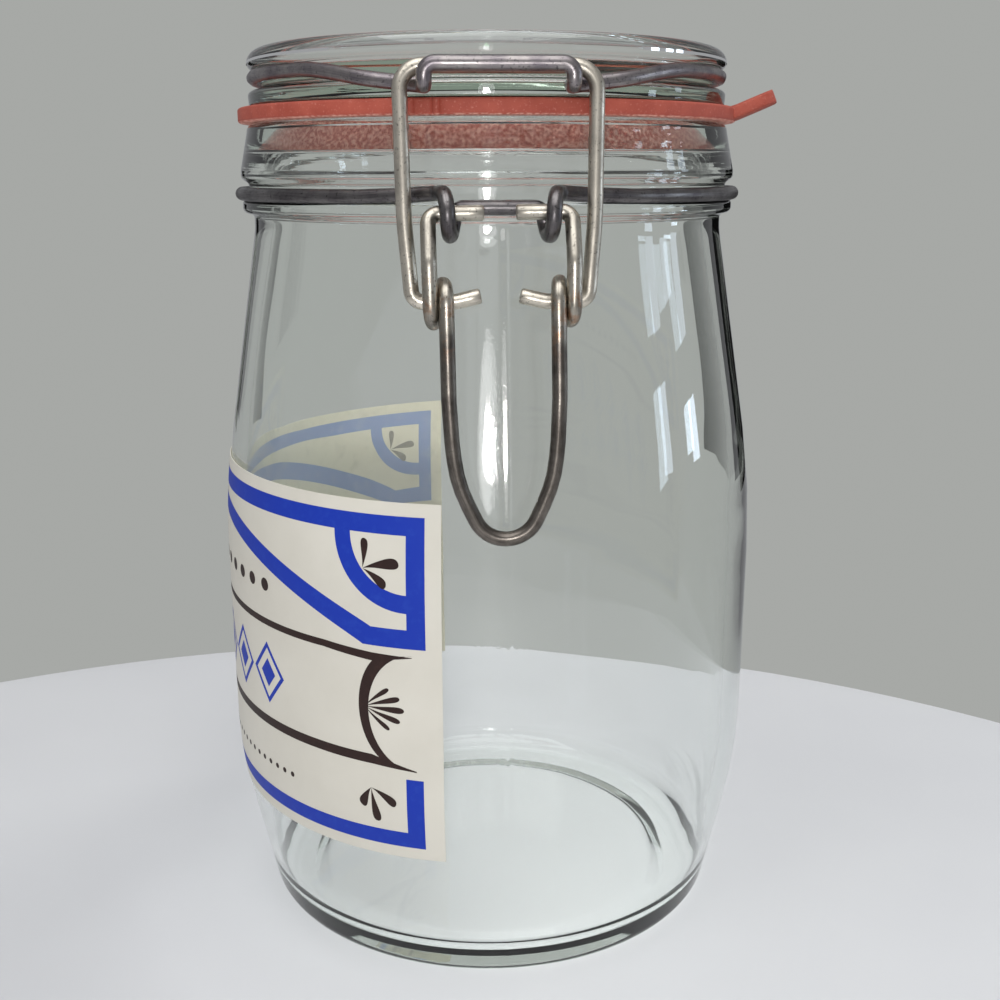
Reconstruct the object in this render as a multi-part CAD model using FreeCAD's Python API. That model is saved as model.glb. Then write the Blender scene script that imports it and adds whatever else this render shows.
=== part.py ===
import FreeCAD, Part

import math
import os

# Wire bail jar, about one litre: a blown glass jar, a pressed glass lid with its rubber ring, and a toggle
# closure bent from steel wire.
# Millimetres. The origin is the centre of the foot, on the jar's axis, and +Z is up. The closure faces -Y,
# the lid's hinge is at +Y, the rubber ring's pull tab points to +X and the paper label is centred on -X.

Vector = FreeCAD.Vector

# ---------------------------------------------------------------- driving dimensions

# jar glass
BODY_R = 55.75              # widest radius of the body
FOOT_R = 48.9               # radius at which the lower wall would meet the table
FOOT_ROUND = 3.8            # every ROUND is a rounding radius of the corner named before it
KNEE_LOW_Z = 31.5           # where the lower taper turns into the straight middle
KNEE_LOW_ROUND = 100.0
KNEE_HIGH_Z = 90.0          # where the straight middle turns into the shoulder
KNEE_HIGH_ROUND = 160.0
NECK_R = 47.2
NECK_LOW_Z = 142.8
NECK_ROUND = 14.0
NECK_TOP_Z = 145.7
WALL = 3.3                  # wall of the body
WALL_DROP = 0.5             # the inner wall's knees sit this far from the outer ones' heights
FLOOR_Z = 4.4               # top of the floor at its edge
FLOOR_RISE = 0.5            # the floor's gentle dome
FLOOR_ROUND = 5.5
PUSH_UP_R = 37.5            # the recess under the floor
PUSH_UP_SLOPE = 3.5         # width of its sloping edge
PUSH_UP_ROUND = 5.0
PUSH_UP = 1.6
SOLE_ROUND = 2.0            # inner edge of the ring that the jar stands on
RIM_Z = 162.85              # the sealing face
MOUTH_R = 41.2
MOUTH_ROUND = 1.3
BORE_LOW_Z = 151.5          # where the straight bore widens into the neck
BORE_ROUND = 10.0
BEAD_LOW_R = 49.35          # bead below the neck wire
BEAD_LOW_Z = (146.0, 148.2)
BEAD_HIGH_R = 49.45         # bead above the neck wire
BEAD_HIGH_Z = (152.6, 154.0)
GROOVE_R = 48.0             # bottom of the neck wire's groove
GROOVE_Z = (148.7, 151.5)
RIM_R = 48.0
RIM_LOW_Z = 161.0           # where the collar turns in towards the sealing face
RIM_TAPER = 0.3
RIM_ROUND = 1.5
COLLAR_ROUND = 2.0
BEAD_ROUND = 1.0            # the beads' and groove's corners, larger or smaller by a tenth or more

# rubber ring
RING_R = 49.5
RING_INNER_R = 40.8
RING_T = 2.77
SEAT_GAP = 0.1              # the pressed ring is drawn this far clear of the jar's rim
TAB_WIDTH = 13.0
TAB_END_R = 57.8
TAB_START_R = 44.0
TAB_ANGLE = -5.0            # direction of the tab, in degrees from +X
TAB_LIFT = 22.5             # how far the tab bends up, in degrees
TAB_BEND_R = 8.0
TAB_BEND_INSET = 0.9        # the bend starts this far inside the lid's edge
TAB_CORNER = 4.5            # the tab's corners in plan
RING_ROUND_IN = 0.4
RING_ROUND_OUT = 0.5

# lid glass
LID_R = 47.4                # widest radius of the top bead and of the flange
LID_UNDER_Z = RIM_Z + SEAT_GAP + RING_T
LID_TOP_Z = 176.55
LID_EDGE_STEP = 0.2         # the flange's lower edge is this much narrower
LID_EDGE_ROUND = 0.7
FLANGE_TOP_Z = 168.7
FLANGE_ROUND = 0.9
LID_GROOVE_R = 44.8         # bottom of the lid wire's groove
LID_GROOVE_Z = (169.2, 172.6)
LID_BEAD_Z = 172.9          # lower edge of the top bead
LID_BEAD_ROUND = 2.7
LID_BEAD_LOW_ROUND = 1.6
LID_CREST_R = 42.8          # inner edge of the bead's top
LID_CREST_ROUND = 1.8
LID_PANEL_R = 40.4
LID_PANEL_ROUND = 2.6
LID_PANEL_Z = 172.4         # top of the sunken panel
LID_PANEL_T = 4.6
PLUG_R = 40.4               # the collar that reaches into the mouth
PLUG_T = 3.2
PLUG_Z = 160.6
PLUG_TAPER_OUT = 0.2
PLUG_TAPER_IN = 0.6
PLUG_ROUND = 1.2
PLUG_ROOT_ROUND = 2.2

# wires
WIRE_D = 2.6
WIRE_R = WIRE_D / 2
RING_STEP = 15.0            # one tangent arc of a wire ring turns by this many degrees
RING_LAST = 157.5           # direction at which a ring ends behind, in degrees from -Y
SOFT_BEND = 3.0             # centre-line radius of the bends at the hinge

NECK_WIRE_R = 49.4
NECK_WIRE_Z = 149.65
EYELET_X = 8.65             # middle of each eyelet of the neck wire
EYELET_BACK_Y = -50.35
EYELET_SIZE = 6.8           # centre line of the eyelet's loop, across
EYELET_TOP_Z = 150.4
EYELET_PITCH = 2.8          # sideways step of the wire in one turn
BRIDGE_Z = 148.0            # the straight stretch between the eyelets
BRIDGE_Y = -50.95
BRIDGE_BEND = 1.7
EYELET_BEND_IN = 2.2        # where the eyelet leaves the bridge
EYELET_BEND_OUT = 2.4       # where the eyelet joins the ring
EYELET_STEP_BACK = 0.3
NECK_RING_FIRST = 22.5      # direction at which the ring starts in front, in degrees from -Y

HINGE_Y = 55.9              # axis of the lid's hinge
HINGE_Z = 160.0
HINGE_POST_X = 12.9
HINGE_ROOT_Y = 49.6         # where the ring turns out to the hinge posts
HINGE_RAMP_Z = 152.4        # where the sloping run turns up into the post
HINGE_EYE_X = 9.0
HINGE_EYE_R = WIRE_D + 0.3  # centre line of the eye, loose on the bar
HINGE_EYE_END = 0.4         # the eye's wire stops this far behind the bar
HINGE_ARM = (11.2, 47.6, 170.9)  # where the lid's ring turns back to the eye
HINGE_ARM_LOW_Z = 168.0

LID_WIRE_R = 46.15
LID_WIRE_Z = 171.4
CATCH_X = 12.2
CATCH_Y = -52.3
CATCH_TOP_Z = 170.75
CATCH_LOW_Z = 167.3
CATCH_TOP_BEND = 1.9
CATCH_LOW_BEND = 1.45
CATCH_STEP = 0.3            # the catch's legs lean, and its feet rise, by this much
CATCH_FOOT_Y = -47.4
CATCH_RAMP = (22.2, -44.0, 168.9)    # the run from the foot up to the lid's groove
CATCH_RAMP_BEND = 12.0
CATCH_JOIN = (30.9, -36.6, 170.9)
LID_RING_FIRST = 52.5

PIVOT_Y = -54.0             # the lever turns in the eyelets
PIVOT_Z = 147.3
PIVOT_GAP = 2.65            # half the gap between the lever's two wire ends
PIVOT_BEND = 1.9
PIN_Y = -55.0               # the bail turns in the lever's eyes
PIN_Z = 132.9
PIN_TIP_X = 3.3
PIN_STRAIGHT_X = 7.4
PIN_TIP_LIFT = 0.95
PIN_BEND = 5.0
LEG_X = 11.9
LEG_KNEE_Z = 139.6
LEG_BEND = 3.5
EYE_Z = 132.75              # middle of the lever's eye
EYE_R = 3.1
EYE_SHIFT = 2.65            # one turn of the eye steps sideways by this much
EYE_LEAN = 0.1              # the first quarter turn's step
HANDLE_Y = -59.6
HANDLE_LOW_Z = 93.05        # centre line at the bottom of the handle
HANDLE_BEND_R = 5.7
HANDLE_SLOPE = 25.0         # of its lower sides, in degrees
HANDLE_KNEE_X = 8.2
HANDLE_KNEE_BEND = 25.0
HANDLE_SHOULDER_Z = 113.5
HANDLE_SHOULDER_BEND = 60.0
HANDLE_TILT = 0.8           # the handle hangs a little to one side, in degrees

BAIL_X = 16.3
BAIL_Y = -49.4
BAIL_Z = 170.6
BAIL_BEND = 3.9
BAIL_KNEE_X = 15.8
BAIL_KNEE_Z = 146.0
BAIL_KNEE_BEND = 40.0
BAIL_FOOT_X = 14.65
BAIL_FOOT_BEND = 2.0

# paper label
LABEL_LOW_Z = 27.8
LABEL_HIGH_Z = 98.0
LABEL_HALF_ANGLE = 79.6
LABEL_T = 0.18
LABEL_CUT_ROOM = 5.0        # the cutting slab reaches this far past the wall
LABEL_GAP = 0.05            # glue line between paper and glass

WIDE = 1.0e6                # a bend radius as large as its two runs allow


# ---------------------------------------------------------------- outlines and wires

def tangent_edges(points, radii, closed=False):
    """Straight runs joined by tangent arcs, one arc of the given radius at each corner."""
    count = len(points)
    corners = range(count) if closed else range(1, count - 1)
    cuts = {}
    for i in corners:
        here = points[i]
        back = points[i - 1] - here
        ahead = points[(i + 1) % count] - here
        half_turn = (math.pi - back.getAngle(ahead)) / 2
        reach = radii[i] * math.tan(half_turn)
        room = min(back.Length, ahead.Length) / 2
        reach = min(reach, room if radii[i] >= WIDE else min(back.Length, ahead.Length))
        if reach < 1e-6:
            continue
        bisector = (Vector(back).normalize() + Vector(ahead).normalize()).normalize()
        radius = reach / math.tan(half_turn)
        centre = here + bisector * (radius / math.cos(half_turn))
        start = here + Vector(back).normalize() * reach
        end = here + Vector(ahead).normalize() * reach
        middle = centre - bisector * radius
        cuts[i] = (start, middle, end)
    edges = []
    order = list(range(count)) + ([0] if closed else [])
    for i, j in zip(order[:-1], order[1:]):
        start = cuts[i][2] if i in cuts else points[i]
        end = cuts[j][0] if j in cuts else points[j]
        if start.distanceToPoint(end) > 1e-5:
            edges.append(Part.LineSegment(start, end).toShape())
        if j in cuts:
            edges.append(Part.Arc(*cuts[j]).toShape())
    return edges


def revolved(corners, start_angle=0.0, sweep=360.0):
    """A solid turned about the Z axis. Each corner is (radius, height, corner rounding)."""
    points = [Vector(r, 0, z) for r, z, _ in corners]
    edges = tangent_edges(points, [rounding for _, _, rounding in corners], closed=True)
    face = Part.Face(Part.Wire(Part.__sortEdges__(edges)))
    solid = face.revolve(Vector(0, 0, 0), Vector(0, 0, 1), sweep)
    solid.rotate(Vector(0, 0, 0), Vector(0, 0, 1), start_angle)
    return solid


def bent_wire(corners, closed=False):
    """Round wire bent along corners of (x, y, z, bend radius)."""
    points = [Vector(x, y, z) for x, y, z, _ in corners]
    edges = tangent_edges(points, [bend for _, _, _, bend in corners], closed)
    pieces = []
    for edge in edges:
        start = edge.valueAt(edge.FirstParameter)
        heading = edge.tangentAt(edge.FirstParameter)
        if isinstance(edge.Curve, Part.Line):
            pieces.append(Part.makeCylinder(WIRE_R, edge.Length, start, heading))
            continue
        section = Part.Face(Part.Wire(Part.makeCircle(WIRE_R, start, heading)))
        turn = math.degrees(edge.Length / edge.Curve.Radius)
        pieces.append(section.revolve(edge.Curve.Center, edge.Curve.Axis, turn))
    return pieces[0].multiFuse(pieces[1:]).removeSplitter()


def mirrored(corners):
    """The same corners on the other side of the YZ plane, in reverse order."""
    return [(-x, y, z, bend) for x, y, z, bend in reversed(corners)]


def ring_corners(radius, height, first, last):
    """Corners round the Z axis whose tangent arcs make a circle. Angles are from -Y towards +X."""
    reach = radius / math.cos(math.radians(RING_STEP / 2))
    steps = int(round((last - first) / RING_STEP))
    corners = []
    for k in range(steps + 1):
        angle = math.radians(first + k * RING_STEP)
        corners.append((reach * math.sin(angle), -reach * math.cos(angle), height, WIDE))
    return corners


def straight_z(z):
    """How far up the bail's side a height is, from 0 at its pins to 1 at its bar."""
    return (z - PIN_Z) / (BAIL_Z - PIN_Z)


def bail_y(z):
    """Depth of the bail's straight side at a height."""
    return PIN_Y + straight_z(z) * (BAIL_Y - PIN_Y)


# ---------------------------------------------------------------- glass, rubber and paper

def wall_corners(offset):
    """The body's outer corners from the foot to the neck, moved outwards by an offset."""
    return [
        (FOOT_R + offset, 0.0, FOOT_ROUND),
        (BODY_R + offset, KNEE_LOW_Z, KNEE_LOW_ROUND),
        (BODY_R + offset, KNEE_HIGH_Z, KNEE_HIGH_ROUND),
        (NECK_R + offset, NECK_LOW_Z, NECK_ROUND),
    ]


def make_jar_glass():
    """Barrel body, grooved finish for the neck wire, sealing rim, thick foot with a push-up."""
    outside = wall_corners(0.0) + [
        (NECK_R, NECK_TOP_Z, BEAD_ROUND),
        (BEAD_LOW_R, BEAD_LOW_Z[0], BEAD_ROUND * 1.1),
        (BEAD_LOW_R, BEAD_LOW_Z[1], BEAD_ROUND * 0.9),
        (GROOVE_R, GROOVE_Z[0], BEAD_ROUND / 2),
        (GROOVE_R, GROOVE_Z[1], BEAD_ROUND * 0.8),
        (BEAD_HIGH_R, BEAD_HIGH_Z[0], BEAD_ROUND * 0.9),
        (BEAD_HIGH_R, BEAD_HIGH_Z[1], BEAD_ROUND * 1.4),
        (RIM_R, RIM_LOW_Z, COLLAR_ROUND),
        (RIM_R - RIM_TAPER, RIM_Z, RIM_ROUND),
    ]
    inside = [
        (MOUTH_R, RIM_Z, MOUTH_ROUND),
        (MOUTH_R, BORE_LOW_Z, BORE_ROUND),
        (NECK_R - WALL, NECK_LOW_Z - WALL_DROP, NECK_ROUND),
        (BODY_R - WALL, KNEE_HIGH_Z + 2 * WALL_DROP, KNEE_HIGH_ROUND - WALL),
        (BODY_R - WALL, KNEE_LOW_Z + WALL_DROP, KNEE_LOW_ROUND - WALL),
        (FOOT_R - WALL / 2, FLOOR_Z, FLOOR_ROUND),
        (0.0, FLOOR_Z + FLOOR_RISE, 0.0),
    ]
    underside = [
        (0.0, PUSH_UP, 0.0),
        (PUSH_UP_R - PUSH_UP_SLOPE, PUSH_UP * 0.85, PUSH_UP_ROUND),
        (PUSH_UP_R, 0.0, SOLE_ROUND),
    ]
    return revolved(outside + inside + underside)


def make_lid_glass():
    """Sunken panel inside a rounded bead, groove for the lid wire, sealing flange and collar."""
    panel_low = LID_PANEL_Z - LID_PANEL_T
    return revolved([
        (0.0, panel_low, 0.0),
        (PLUG_R - PLUG_T - PLUG_TAPER_IN, panel_low, PLUG_ROOT_ROUND),
        (PLUG_R - PLUG_T, PLUG_Z, PLUG_ROUND),
        (PLUG_R, PLUG_Z, PLUG_ROUND),
        (PLUG_R + PLUG_TAPER_OUT, LID_UNDER_Z, 0.0),
        (LID_R - LID_EDGE_STEP, LID_UNDER_Z, LID_EDGE_ROUND),
        (LID_R, FLANGE_TOP_Z, FLANGE_ROUND),
        (LID_GROOVE_R, LID_GROOVE_Z[0], LID_EDGE_ROUND),
        (LID_GROOVE_R, LID_GROOVE_Z[1], LID_EDGE_ROUND),
        (LID_R, LID_BEAD_Z, LID_BEAD_LOW_ROUND),
        (LID_R, LID_TOP_Z, LID_BEAD_ROUND),
        (LID_CREST_R, LID_TOP_Z, LID_CREST_ROUND),
        (LID_PANEL_R, LID_PANEL_Z, LID_PANEL_ROUND),
        (0.0, LID_PANEL_Z, 0.0),
    ])


def make_gasket():
    """Flat rubber ring with a pull tab that bends up at its end."""
    low = RIM_Z + SEAT_GAP
    ring = revolved([
        (RING_INNER_R, low, RING_ROUND_IN),
        (RING_R, low, RING_ROUND_OUT),
        (RING_R, low + RING_T, RING_ROUND_OUT),
        (RING_INNER_R, low + RING_T, RING_ROUND_IN),
    ])
    lift = math.radians(TAB_LIFT)
    bend_start = LID_R - TAB_BEND_INSET
    run = (TAB_END_R - bend_start - (TAB_BEND_R + RING_T) * math.sin(lift)) / math.cos(lift)
    upper = []
    lower = []
    for height, line in ((low + RING_T, upper), (low, lower)):
        bend = low + TAB_BEND_R + RING_T - height
        for angle in (0.0, lift / 2, lift):
            line.append(Vector(bend_start + bend * math.sin(angle), 0,
                               low + RING_T + TAB_BEND_R - bend * math.cos(angle)))
    reach = Vector(math.cos(lift), 0, math.sin(lift)) * run
    root_low = Vector(TAB_START_R, 0, low)
    root_high = Vector(TAB_START_R, 0, low + RING_T)
    outline = Part.Wire([
        Part.LineSegment(root_low, lower[0]).toShape(),
        Part.Arc(*lower).toShape(),
        Part.LineSegment(lower[2], lower[2] + reach).toShape(),
        Part.LineSegment(lower[2] + reach, upper[2] + reach).toShape(),
        Part.LineSegment(upper[2] + reach, upper[2]).toShape(),
        Part.Arc(upper[2], upper[1], upper[0]).toShape(),
        Part.LineSegment(upper[0], root_high).toShape(),
        Part.LineSegment(root_high, root_low).toShape(),
    ])
    tab = Part.Face(outline).extrude(Vector(0, TAB_WIDTH, 0))
    tab.translate(Vector(0, -TAB_WIDTH / 2, 0))
    half = TAB_WIDTH / 2
    plan = tangent_edges([
        Vector(TAB_START_R, -half, low),
        Vector(TAB_END_R, -half, low),
        Vector(TAB_END_R, half, low),
        Vector(TAB_START_R, half, low),
    ], [0.0, TAB_CORNER, TAB_CORNER, 0.0], closed=True)
    tab = tab.common(Part.Face(Part.Wire(plan)).extrude(Vector(0, 0, RING_T * 4)))
    tab.rotate(Vector(0, 0, 0), Vector(0, 0, 1), TAB_ANGLE)
    return ring.fuse(tab).removeSplitter()


def make_label():
    """Paper band glued round one side of the body, following the barrel."""
    inner = wall_corners(LABEL_GAP)
    outer = wall_corners(LABEL_GAP + LABEL_T)
    inner[0] = (FOOT_R + LABEL_GAP, 0.0, 0.0)
    outer[0] = (FOOT_R + LABEL_GAP + LABEL_T, 0.0, 0.0)
    inner[3] = (NECK_R + LABEL_GAP, NECK_LOW_Z, 0.0)
    outer[3] = (NECK_R + LABEL_GAP + LABEL_T, NECK_LOW_Z, 0.0)
    band = revolved(outer + list(reversed(inner)), 180.0 - LABEL_HALF_ANGLE, 2 * LABEL_HALF_ANGLE)
    height = LABEL_HIGH_Z - LABEL_LOW_Z
    slab = Part.makeCylinder(BODY_R + LABEL_CUT_ROOM, height, Vector(0, 0, LABEL_LOW_Z))
    return band.common(slab)


# ---------------------------------------------------------------- wire closure

def make_neck_wire():
    """One closed wire: a ring in the neck groove, two eyelets in front and the hinge bar behind."""
    front_y = EYELET_BACK_Y - EYELET_SIZE
    low_z = EYELET_TOP_Z - EYELET_SIZE
    bend = EYELET_SIZE / 2
    side = EYELET_PITCH / 2
    half = [
        (EYELET_X - side, BRIDGE_Y, BRIDGE_Z, BRIDGE_BEND),
        (EYELET_X - side / 2, EYELET_BACK_Y, low_z, EYELET_BEND_IN),
        (EYELET_X - side / 10, front_y, low_z, bend),
        (EYELET_X + side / 10, front_y, EYELET_TOP_Z, bend),
        (EYELET_X + side, EYELET_BACK_Y + EYELET_STEP_BACK, EYELET_TOP_Z, EYELET_BEND_OUT),
    ]
    half += ring_corners(NECK_WIRE_R, NECK_WIRE_Z, NECK_RING_FIRST, RING_LAST)
    half += [
        (HINGE_POST_X, HINGE_ROOT_Y, NECK_WIRE_Z, SOFT_BEND),
        (HINGE_POST_X, HINGE_Y, HINGE_RAMP_Z, SOFT_BEND),
        (HINGE_POST_X, HINGE_Y, HINGE_Z, SOFT_BEND),
    ]
    return bent_wire(half + mirrored(half), closed=True)


def make_lid_wire():
    """One open wire: the raised catch in front, a ring in the lid's groove, two hinge eyes behind."""
    half = [
        (CATCH_X, CATCH_Y, CATCH_TOP_Z, CATCH_TOP_BEND),
        (CATCH_X, CATCH_Y + CATCH_STEP, CATCH_LOW_Z, CATCH_LOW_BEND),
        (CATCH_X, CATCH_FOOT_Y, CATCH_LOW_Z + CATCH_STEP, CATCH_TOP_BEND),
        (*CATCH_RAMP, CATCH_RAMP_BEND),
        (*CATCH_JOIN, WIDE),
    ]
    half += ring_corners(LID_WIRE_R, LID_WIRE_Z, LID_RING_FIRST, RING_LAST)
    half += [
        (*HINGE_ARM, SOFT_BEND),
        (HINGE_EYE_X, HINGE_Y + HINGE_EYE_R, HINGE_ARM_LOW_Z, SOFT_BEND),
        (HINGE_EYE_X, HINGE_Y + HINGE_EYE_R, HINGE_Z - HINGE_EYE_R, HINGE_EYE_R),
        (HINGE_EYE_X, HINGE_Y - HINGE_EYE_R, HINGE_Z - HINGE_EYE_R, HINGE_EYE_R),
        (HINGE_EYE_X, HINGE_Y - HINGE_EYE_R, HINGE_Z + HINGE_EYE_R, HINGE_EYE_R),
        (HINGE_EYE_X, HINGE_Y + HINGE_EYE_END, HINGE_Z + HINGE_EYE_R, 0.0),
    ]
    return bent_wire(mirrored(half) + half)


def make_lever():
    """One wire: pivot ends in the eyelets, legs, a full-turn eye for the bail each side, U handle."""
    front_y = PIN_Y - EYE_R
    back_y = PIN_Y + EYE_R
    low_z = EYE_Z - EYE_R
    high_z = EYE_Z + EYE_R
    handle_x = LEG_X - EYE_SHIFT
    slope = math.radians(HANDLE_SLOPE)
    corner_z = HANDLE_LOW_Z + HANDLE_BEND_R - HANDLE_BEND_R / math.sin(slope)
    knee_z = corner_z + HANDLE_KNEE_X / math.tan(slope)
    half = [
        (PIVOT_GAP, PIVOT_Y, PIVOT_Z, 0.0),
        (LEG_X, PIVOT_Y, PIVOT_Z, PIVOT_BEND),
        (LEG_X, front_y, LEG_KNEE_Z, LEG_BEND),
        (LEG_X - EYE_LEAN, front_y, low_z, EYE_R),
        (LEG_X - 0.4 * EYE_SHIFT, back_y, low_z, EYE_R),
        (LEG_X - 0.7 * EYE_SHIFT, back_y, high_z, EYE_R),
        (handle_x, front_y, high_z, EYE_R),
        (handle_x, HANDLE_Y, HANDLE_SHOULDER_Z, HANDLE_SHOULDER_BEND),
        (HANDLE_KNEE_X, HANDLE_Y, knee_z, HANDLE_KNEE_BEND),
    ]
    bottom = [(0.0, HANDLE_Y, corner_z, HANDLE_BEND_R)]
    lever = bent_wire(half + bottom + mirrored(half))
    lever.rotate(Vector(0, PIVOT_Y, PIVOT_Z), Vector(0, 1, 0), -HANDLE_TILT)
    return lever


def make_bail():
    """One wire: a bar that hooks behind the catch, two sides and bent-in pins with turned-up tips."""
    half = [
        (BAIL_X, BAIL_Y, BAIL_Z, BAIL_BEND),
        (BAIL_KNEE_X, bail_y(BAIL_KNEE_Z), BAIL_KNEE_Z, BAIL_KNEE_BEND),
        (BAIL_FOOT_X, PIN_Y, PIN_Z, BAIL_FOOT_BEND),
        (PIN_STRAIGHT_X, PIN_Y, PIN_Z, PIN_BEND),
        (PIN_TIP_X, bail_y(PIN_Z + PIN_TIP_LIFT), PIN_Z + PIN_TIP_LIFT, 0.0),
    ]
    return bent_wire(mirrored(half) + half)


def main():
    """Builds each piece and writes it as parts/NODE.step."""
    os.makedirs("parts", exist_ok=True)
    makers = {
        "jar_glass": make_jar_glass,
        "lid_glass": make_lid_glass,
        "gasket": make_gasket,
        "neck_wire": make_neck_wire,
        "lid_wire": make_lid_wire,
        "lever": make_lever,
        "bail": make_bail,
        "label": make_label,
    }
    for node, maker in makers.items():
        shape = maker()
        shape.exportStep(f"parts/{node}.step")
        box = shape.BoundBox
        print(f"{node:10s} valid {shape.isValid()} solids {len(shape.Solids)} faces {len(shape.Faces)} "
              f"volume {shape.Volume:9.1f} x {box.XMin:7.2f} {box.XMax:7.2f} "
              f"y {box.YMin:7.2f} {box.YMax:7.2f} z {box.ZMin:7.2f} {box.ZMax:7.2f}")


main()
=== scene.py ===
import logging
import math
from dataclasses import dataclass
from enum import Enum
from typing import Callable, Sequence

import bpy
import numpy as np
from mathutils import Matrix


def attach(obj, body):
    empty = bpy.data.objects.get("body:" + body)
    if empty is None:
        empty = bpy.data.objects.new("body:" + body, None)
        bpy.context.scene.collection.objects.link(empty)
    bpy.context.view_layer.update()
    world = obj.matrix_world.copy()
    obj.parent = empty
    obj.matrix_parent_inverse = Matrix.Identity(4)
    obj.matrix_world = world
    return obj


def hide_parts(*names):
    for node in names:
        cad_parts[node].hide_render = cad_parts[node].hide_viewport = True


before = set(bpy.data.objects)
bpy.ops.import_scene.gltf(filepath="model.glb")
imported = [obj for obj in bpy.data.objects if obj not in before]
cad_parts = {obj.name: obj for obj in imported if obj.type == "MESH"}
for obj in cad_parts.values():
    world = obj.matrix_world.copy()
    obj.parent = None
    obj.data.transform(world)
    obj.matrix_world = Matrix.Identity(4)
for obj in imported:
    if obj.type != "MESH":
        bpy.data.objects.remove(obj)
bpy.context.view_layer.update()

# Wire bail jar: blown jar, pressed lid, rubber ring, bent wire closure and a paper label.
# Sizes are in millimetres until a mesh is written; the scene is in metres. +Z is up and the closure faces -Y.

logging.basicConfig(level=logging.INFO, format="%(message)s")
LOG = logging.getLogger("bail_jar")

MM = 0.001
WIDE = 1.0e6        # a bend radius that takes up half of each run beside it
NO_BEND = 1e-5      # a corner whose arc is shorter stays a corner
SAME_POINT = 1e-4   # points closer than this are one point
CHAMFER = 0.3       # length of the chamfer at a wire's cut end
CHAMFER_SCALES = (0.35, 0.82)

Array = np.ndarray
NO_TRIS = np.zeros((0, 3), int)
Socket = bpy.types.NodeSocket
Triple = tuple[float, float, float]
Corners = Sequence[Sequence[float]]


# ---------------------------------------------------------------- curves and surfaces

def filleted(corners: Corners, closed: bool = False, turn_deg: float = 6.0,
             longest: float = 4.0) -> Array:
    """Straight runs joined by tangent arcs.

    At each corner the arc of radius R leaves the runs at R*tan(turn/2) from the corner, and its points are
    centre + R*(cos(a)*e1 + sin(a)*e2) for the angle a from 0 to the turn.

    Args:
        corners: Rows of x, y, z and bend radius.
        closed: Whether the last corner joins the first.
        turn_deg: The largest turn between two points of an arc.
        longest: The longest step along a straight run.

    Returns:
        An array of points along the centre line.
    """
    pts = np.array([c[:3] for c in corners], float)
    radii = np.array([c[3] for c in corners], float)
    n = len(pts)
    parts: list[Array] = []
    for i in range(n):
        if not closed and i in (0, n - 1):
            parts.append(pts[i:i + 1])
            continue
        back, ahead = pts[i - 1] - pts[i], pts[(i + 1) % n] - pts[i]
        lb, la = np.linalg.norm(back), np.linalg.norm(ahead)
        back, ahead = back / lb, ahead / la
        half = math.acos(np.clip(np.dot(back, ahead), -1, 1)) / 2
        turn = math.pi - 2 * half
        reach = radii[i] * math.tan(turn / 2)
        reach = min(reach, min(lb, la) / 2 if radii[i] >= WIDE else min(lb, la))
        if reach < NO_BEND:
            parts.append(pts[i:i + 1])
            continue
        radius = reach / math.tan(turn / 2)
        bis = (back + ahead) / np.linalg.norm(back + ahead)
        centre = pts[i] + bis * radius / math.sin(half)
        start = pts[i] + back * reach
        e1 = (start - centre) / radius
        e2 = -back
        a = np.linspace(0, turn, max(2, int(math.ceil(math.degrees(turn) / turn_deg)) + 1))[:, None]
        parts.append(centre + radius * (np.cos(a) * e1 + np.sin(a) * e2))
    line = np.vstack(parts + ([parts[0][:1]] if closed else []))
    keep = np.r_[True, np.linalg.norm(np.diff(line, axis=0), axis=1) > SAME_POINT]
    line = line[keep]
    length = np.r_[0, np.cumsum(np.linalg.norm(np.diff(line, axis=0), axis=1))]
    gaps = np.diff(length)
    extra = [length[i] + gaps[i] * np.arange(1, k) / k
             for i, k in enumerate(np.ceil(gaps / longest).astype(int)) if k > 1]
    if extra:
        want = np.sort(np.concatenate([length] + extra))
        line = np.stack([np.interp(want, length, line[:, k]) for k in range(3)], axis=1)
    return line[:-1] if closed else line


def mirrored(corners: Corners) -> list[tuple[float, ...]]:
    """The same corners on the other side of the YZ plane, in reverse order."""
    return [(-c[0], *c[1:]) for c in reversed(corners)]


def carried_frames(line: Array, closed: bool) -> tuple[Array, Array]:
    """Two unit normals at each station of a path, carried along it without twist.

    Args:
        line: Points along the path.
        closed: Whether the path is a loop; the leftover twist is then spread along it.

    Returns:
        The two arrays of normals.
    """
    ahead, behind = np.roll(line, -1, axis=0), np.roll(line, 1, axis=0)
    if not closed:
        ahead[-1], behind[0] = line[-1], line[0]
    tangent = ahead - behind
    tangent /= np.linalg.norm(tangent, axis=1)[:, None]
    seed = np.array([1.0, 0, 0]) if abs(tangent[0, 0]) < 0.8 else np.array([0, 0, 1.0])
    first = np.cross(tangent[0], seed)
    first /= np.linalg.norm(first)
    normals = [first]
    for t in tangent[1:]:
        v = normals[-1] - t * np.dot(normals[-1], t)
        normals.append(v / np.linalg.norm(v))
    e1 = np.array(normals)
    e2 = np.cross(tangent, e1)
    if closed:
        last = e1[-1] - tangent[0] * np.dot(e1[-1], tangent[0])
        twist = math.atan2(np.dot(np.cross(last, e1[0]), tangent[0]), np.dot(last, e1[0]))
        a = (twist * np.arange(len(line)) / len(line))[:, None]
        e1, e2 = np.cos(a) * e1 + np.sin(a) * e2, np.cos(a) * e2 - np.sin(a) * e1
    return e1, e2


class Ends(Enum):
    """How a grid of points is closed along its first direction."""
    OPEN = "open"
    LOOP = "loop"
    POLES = "poles"


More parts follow.
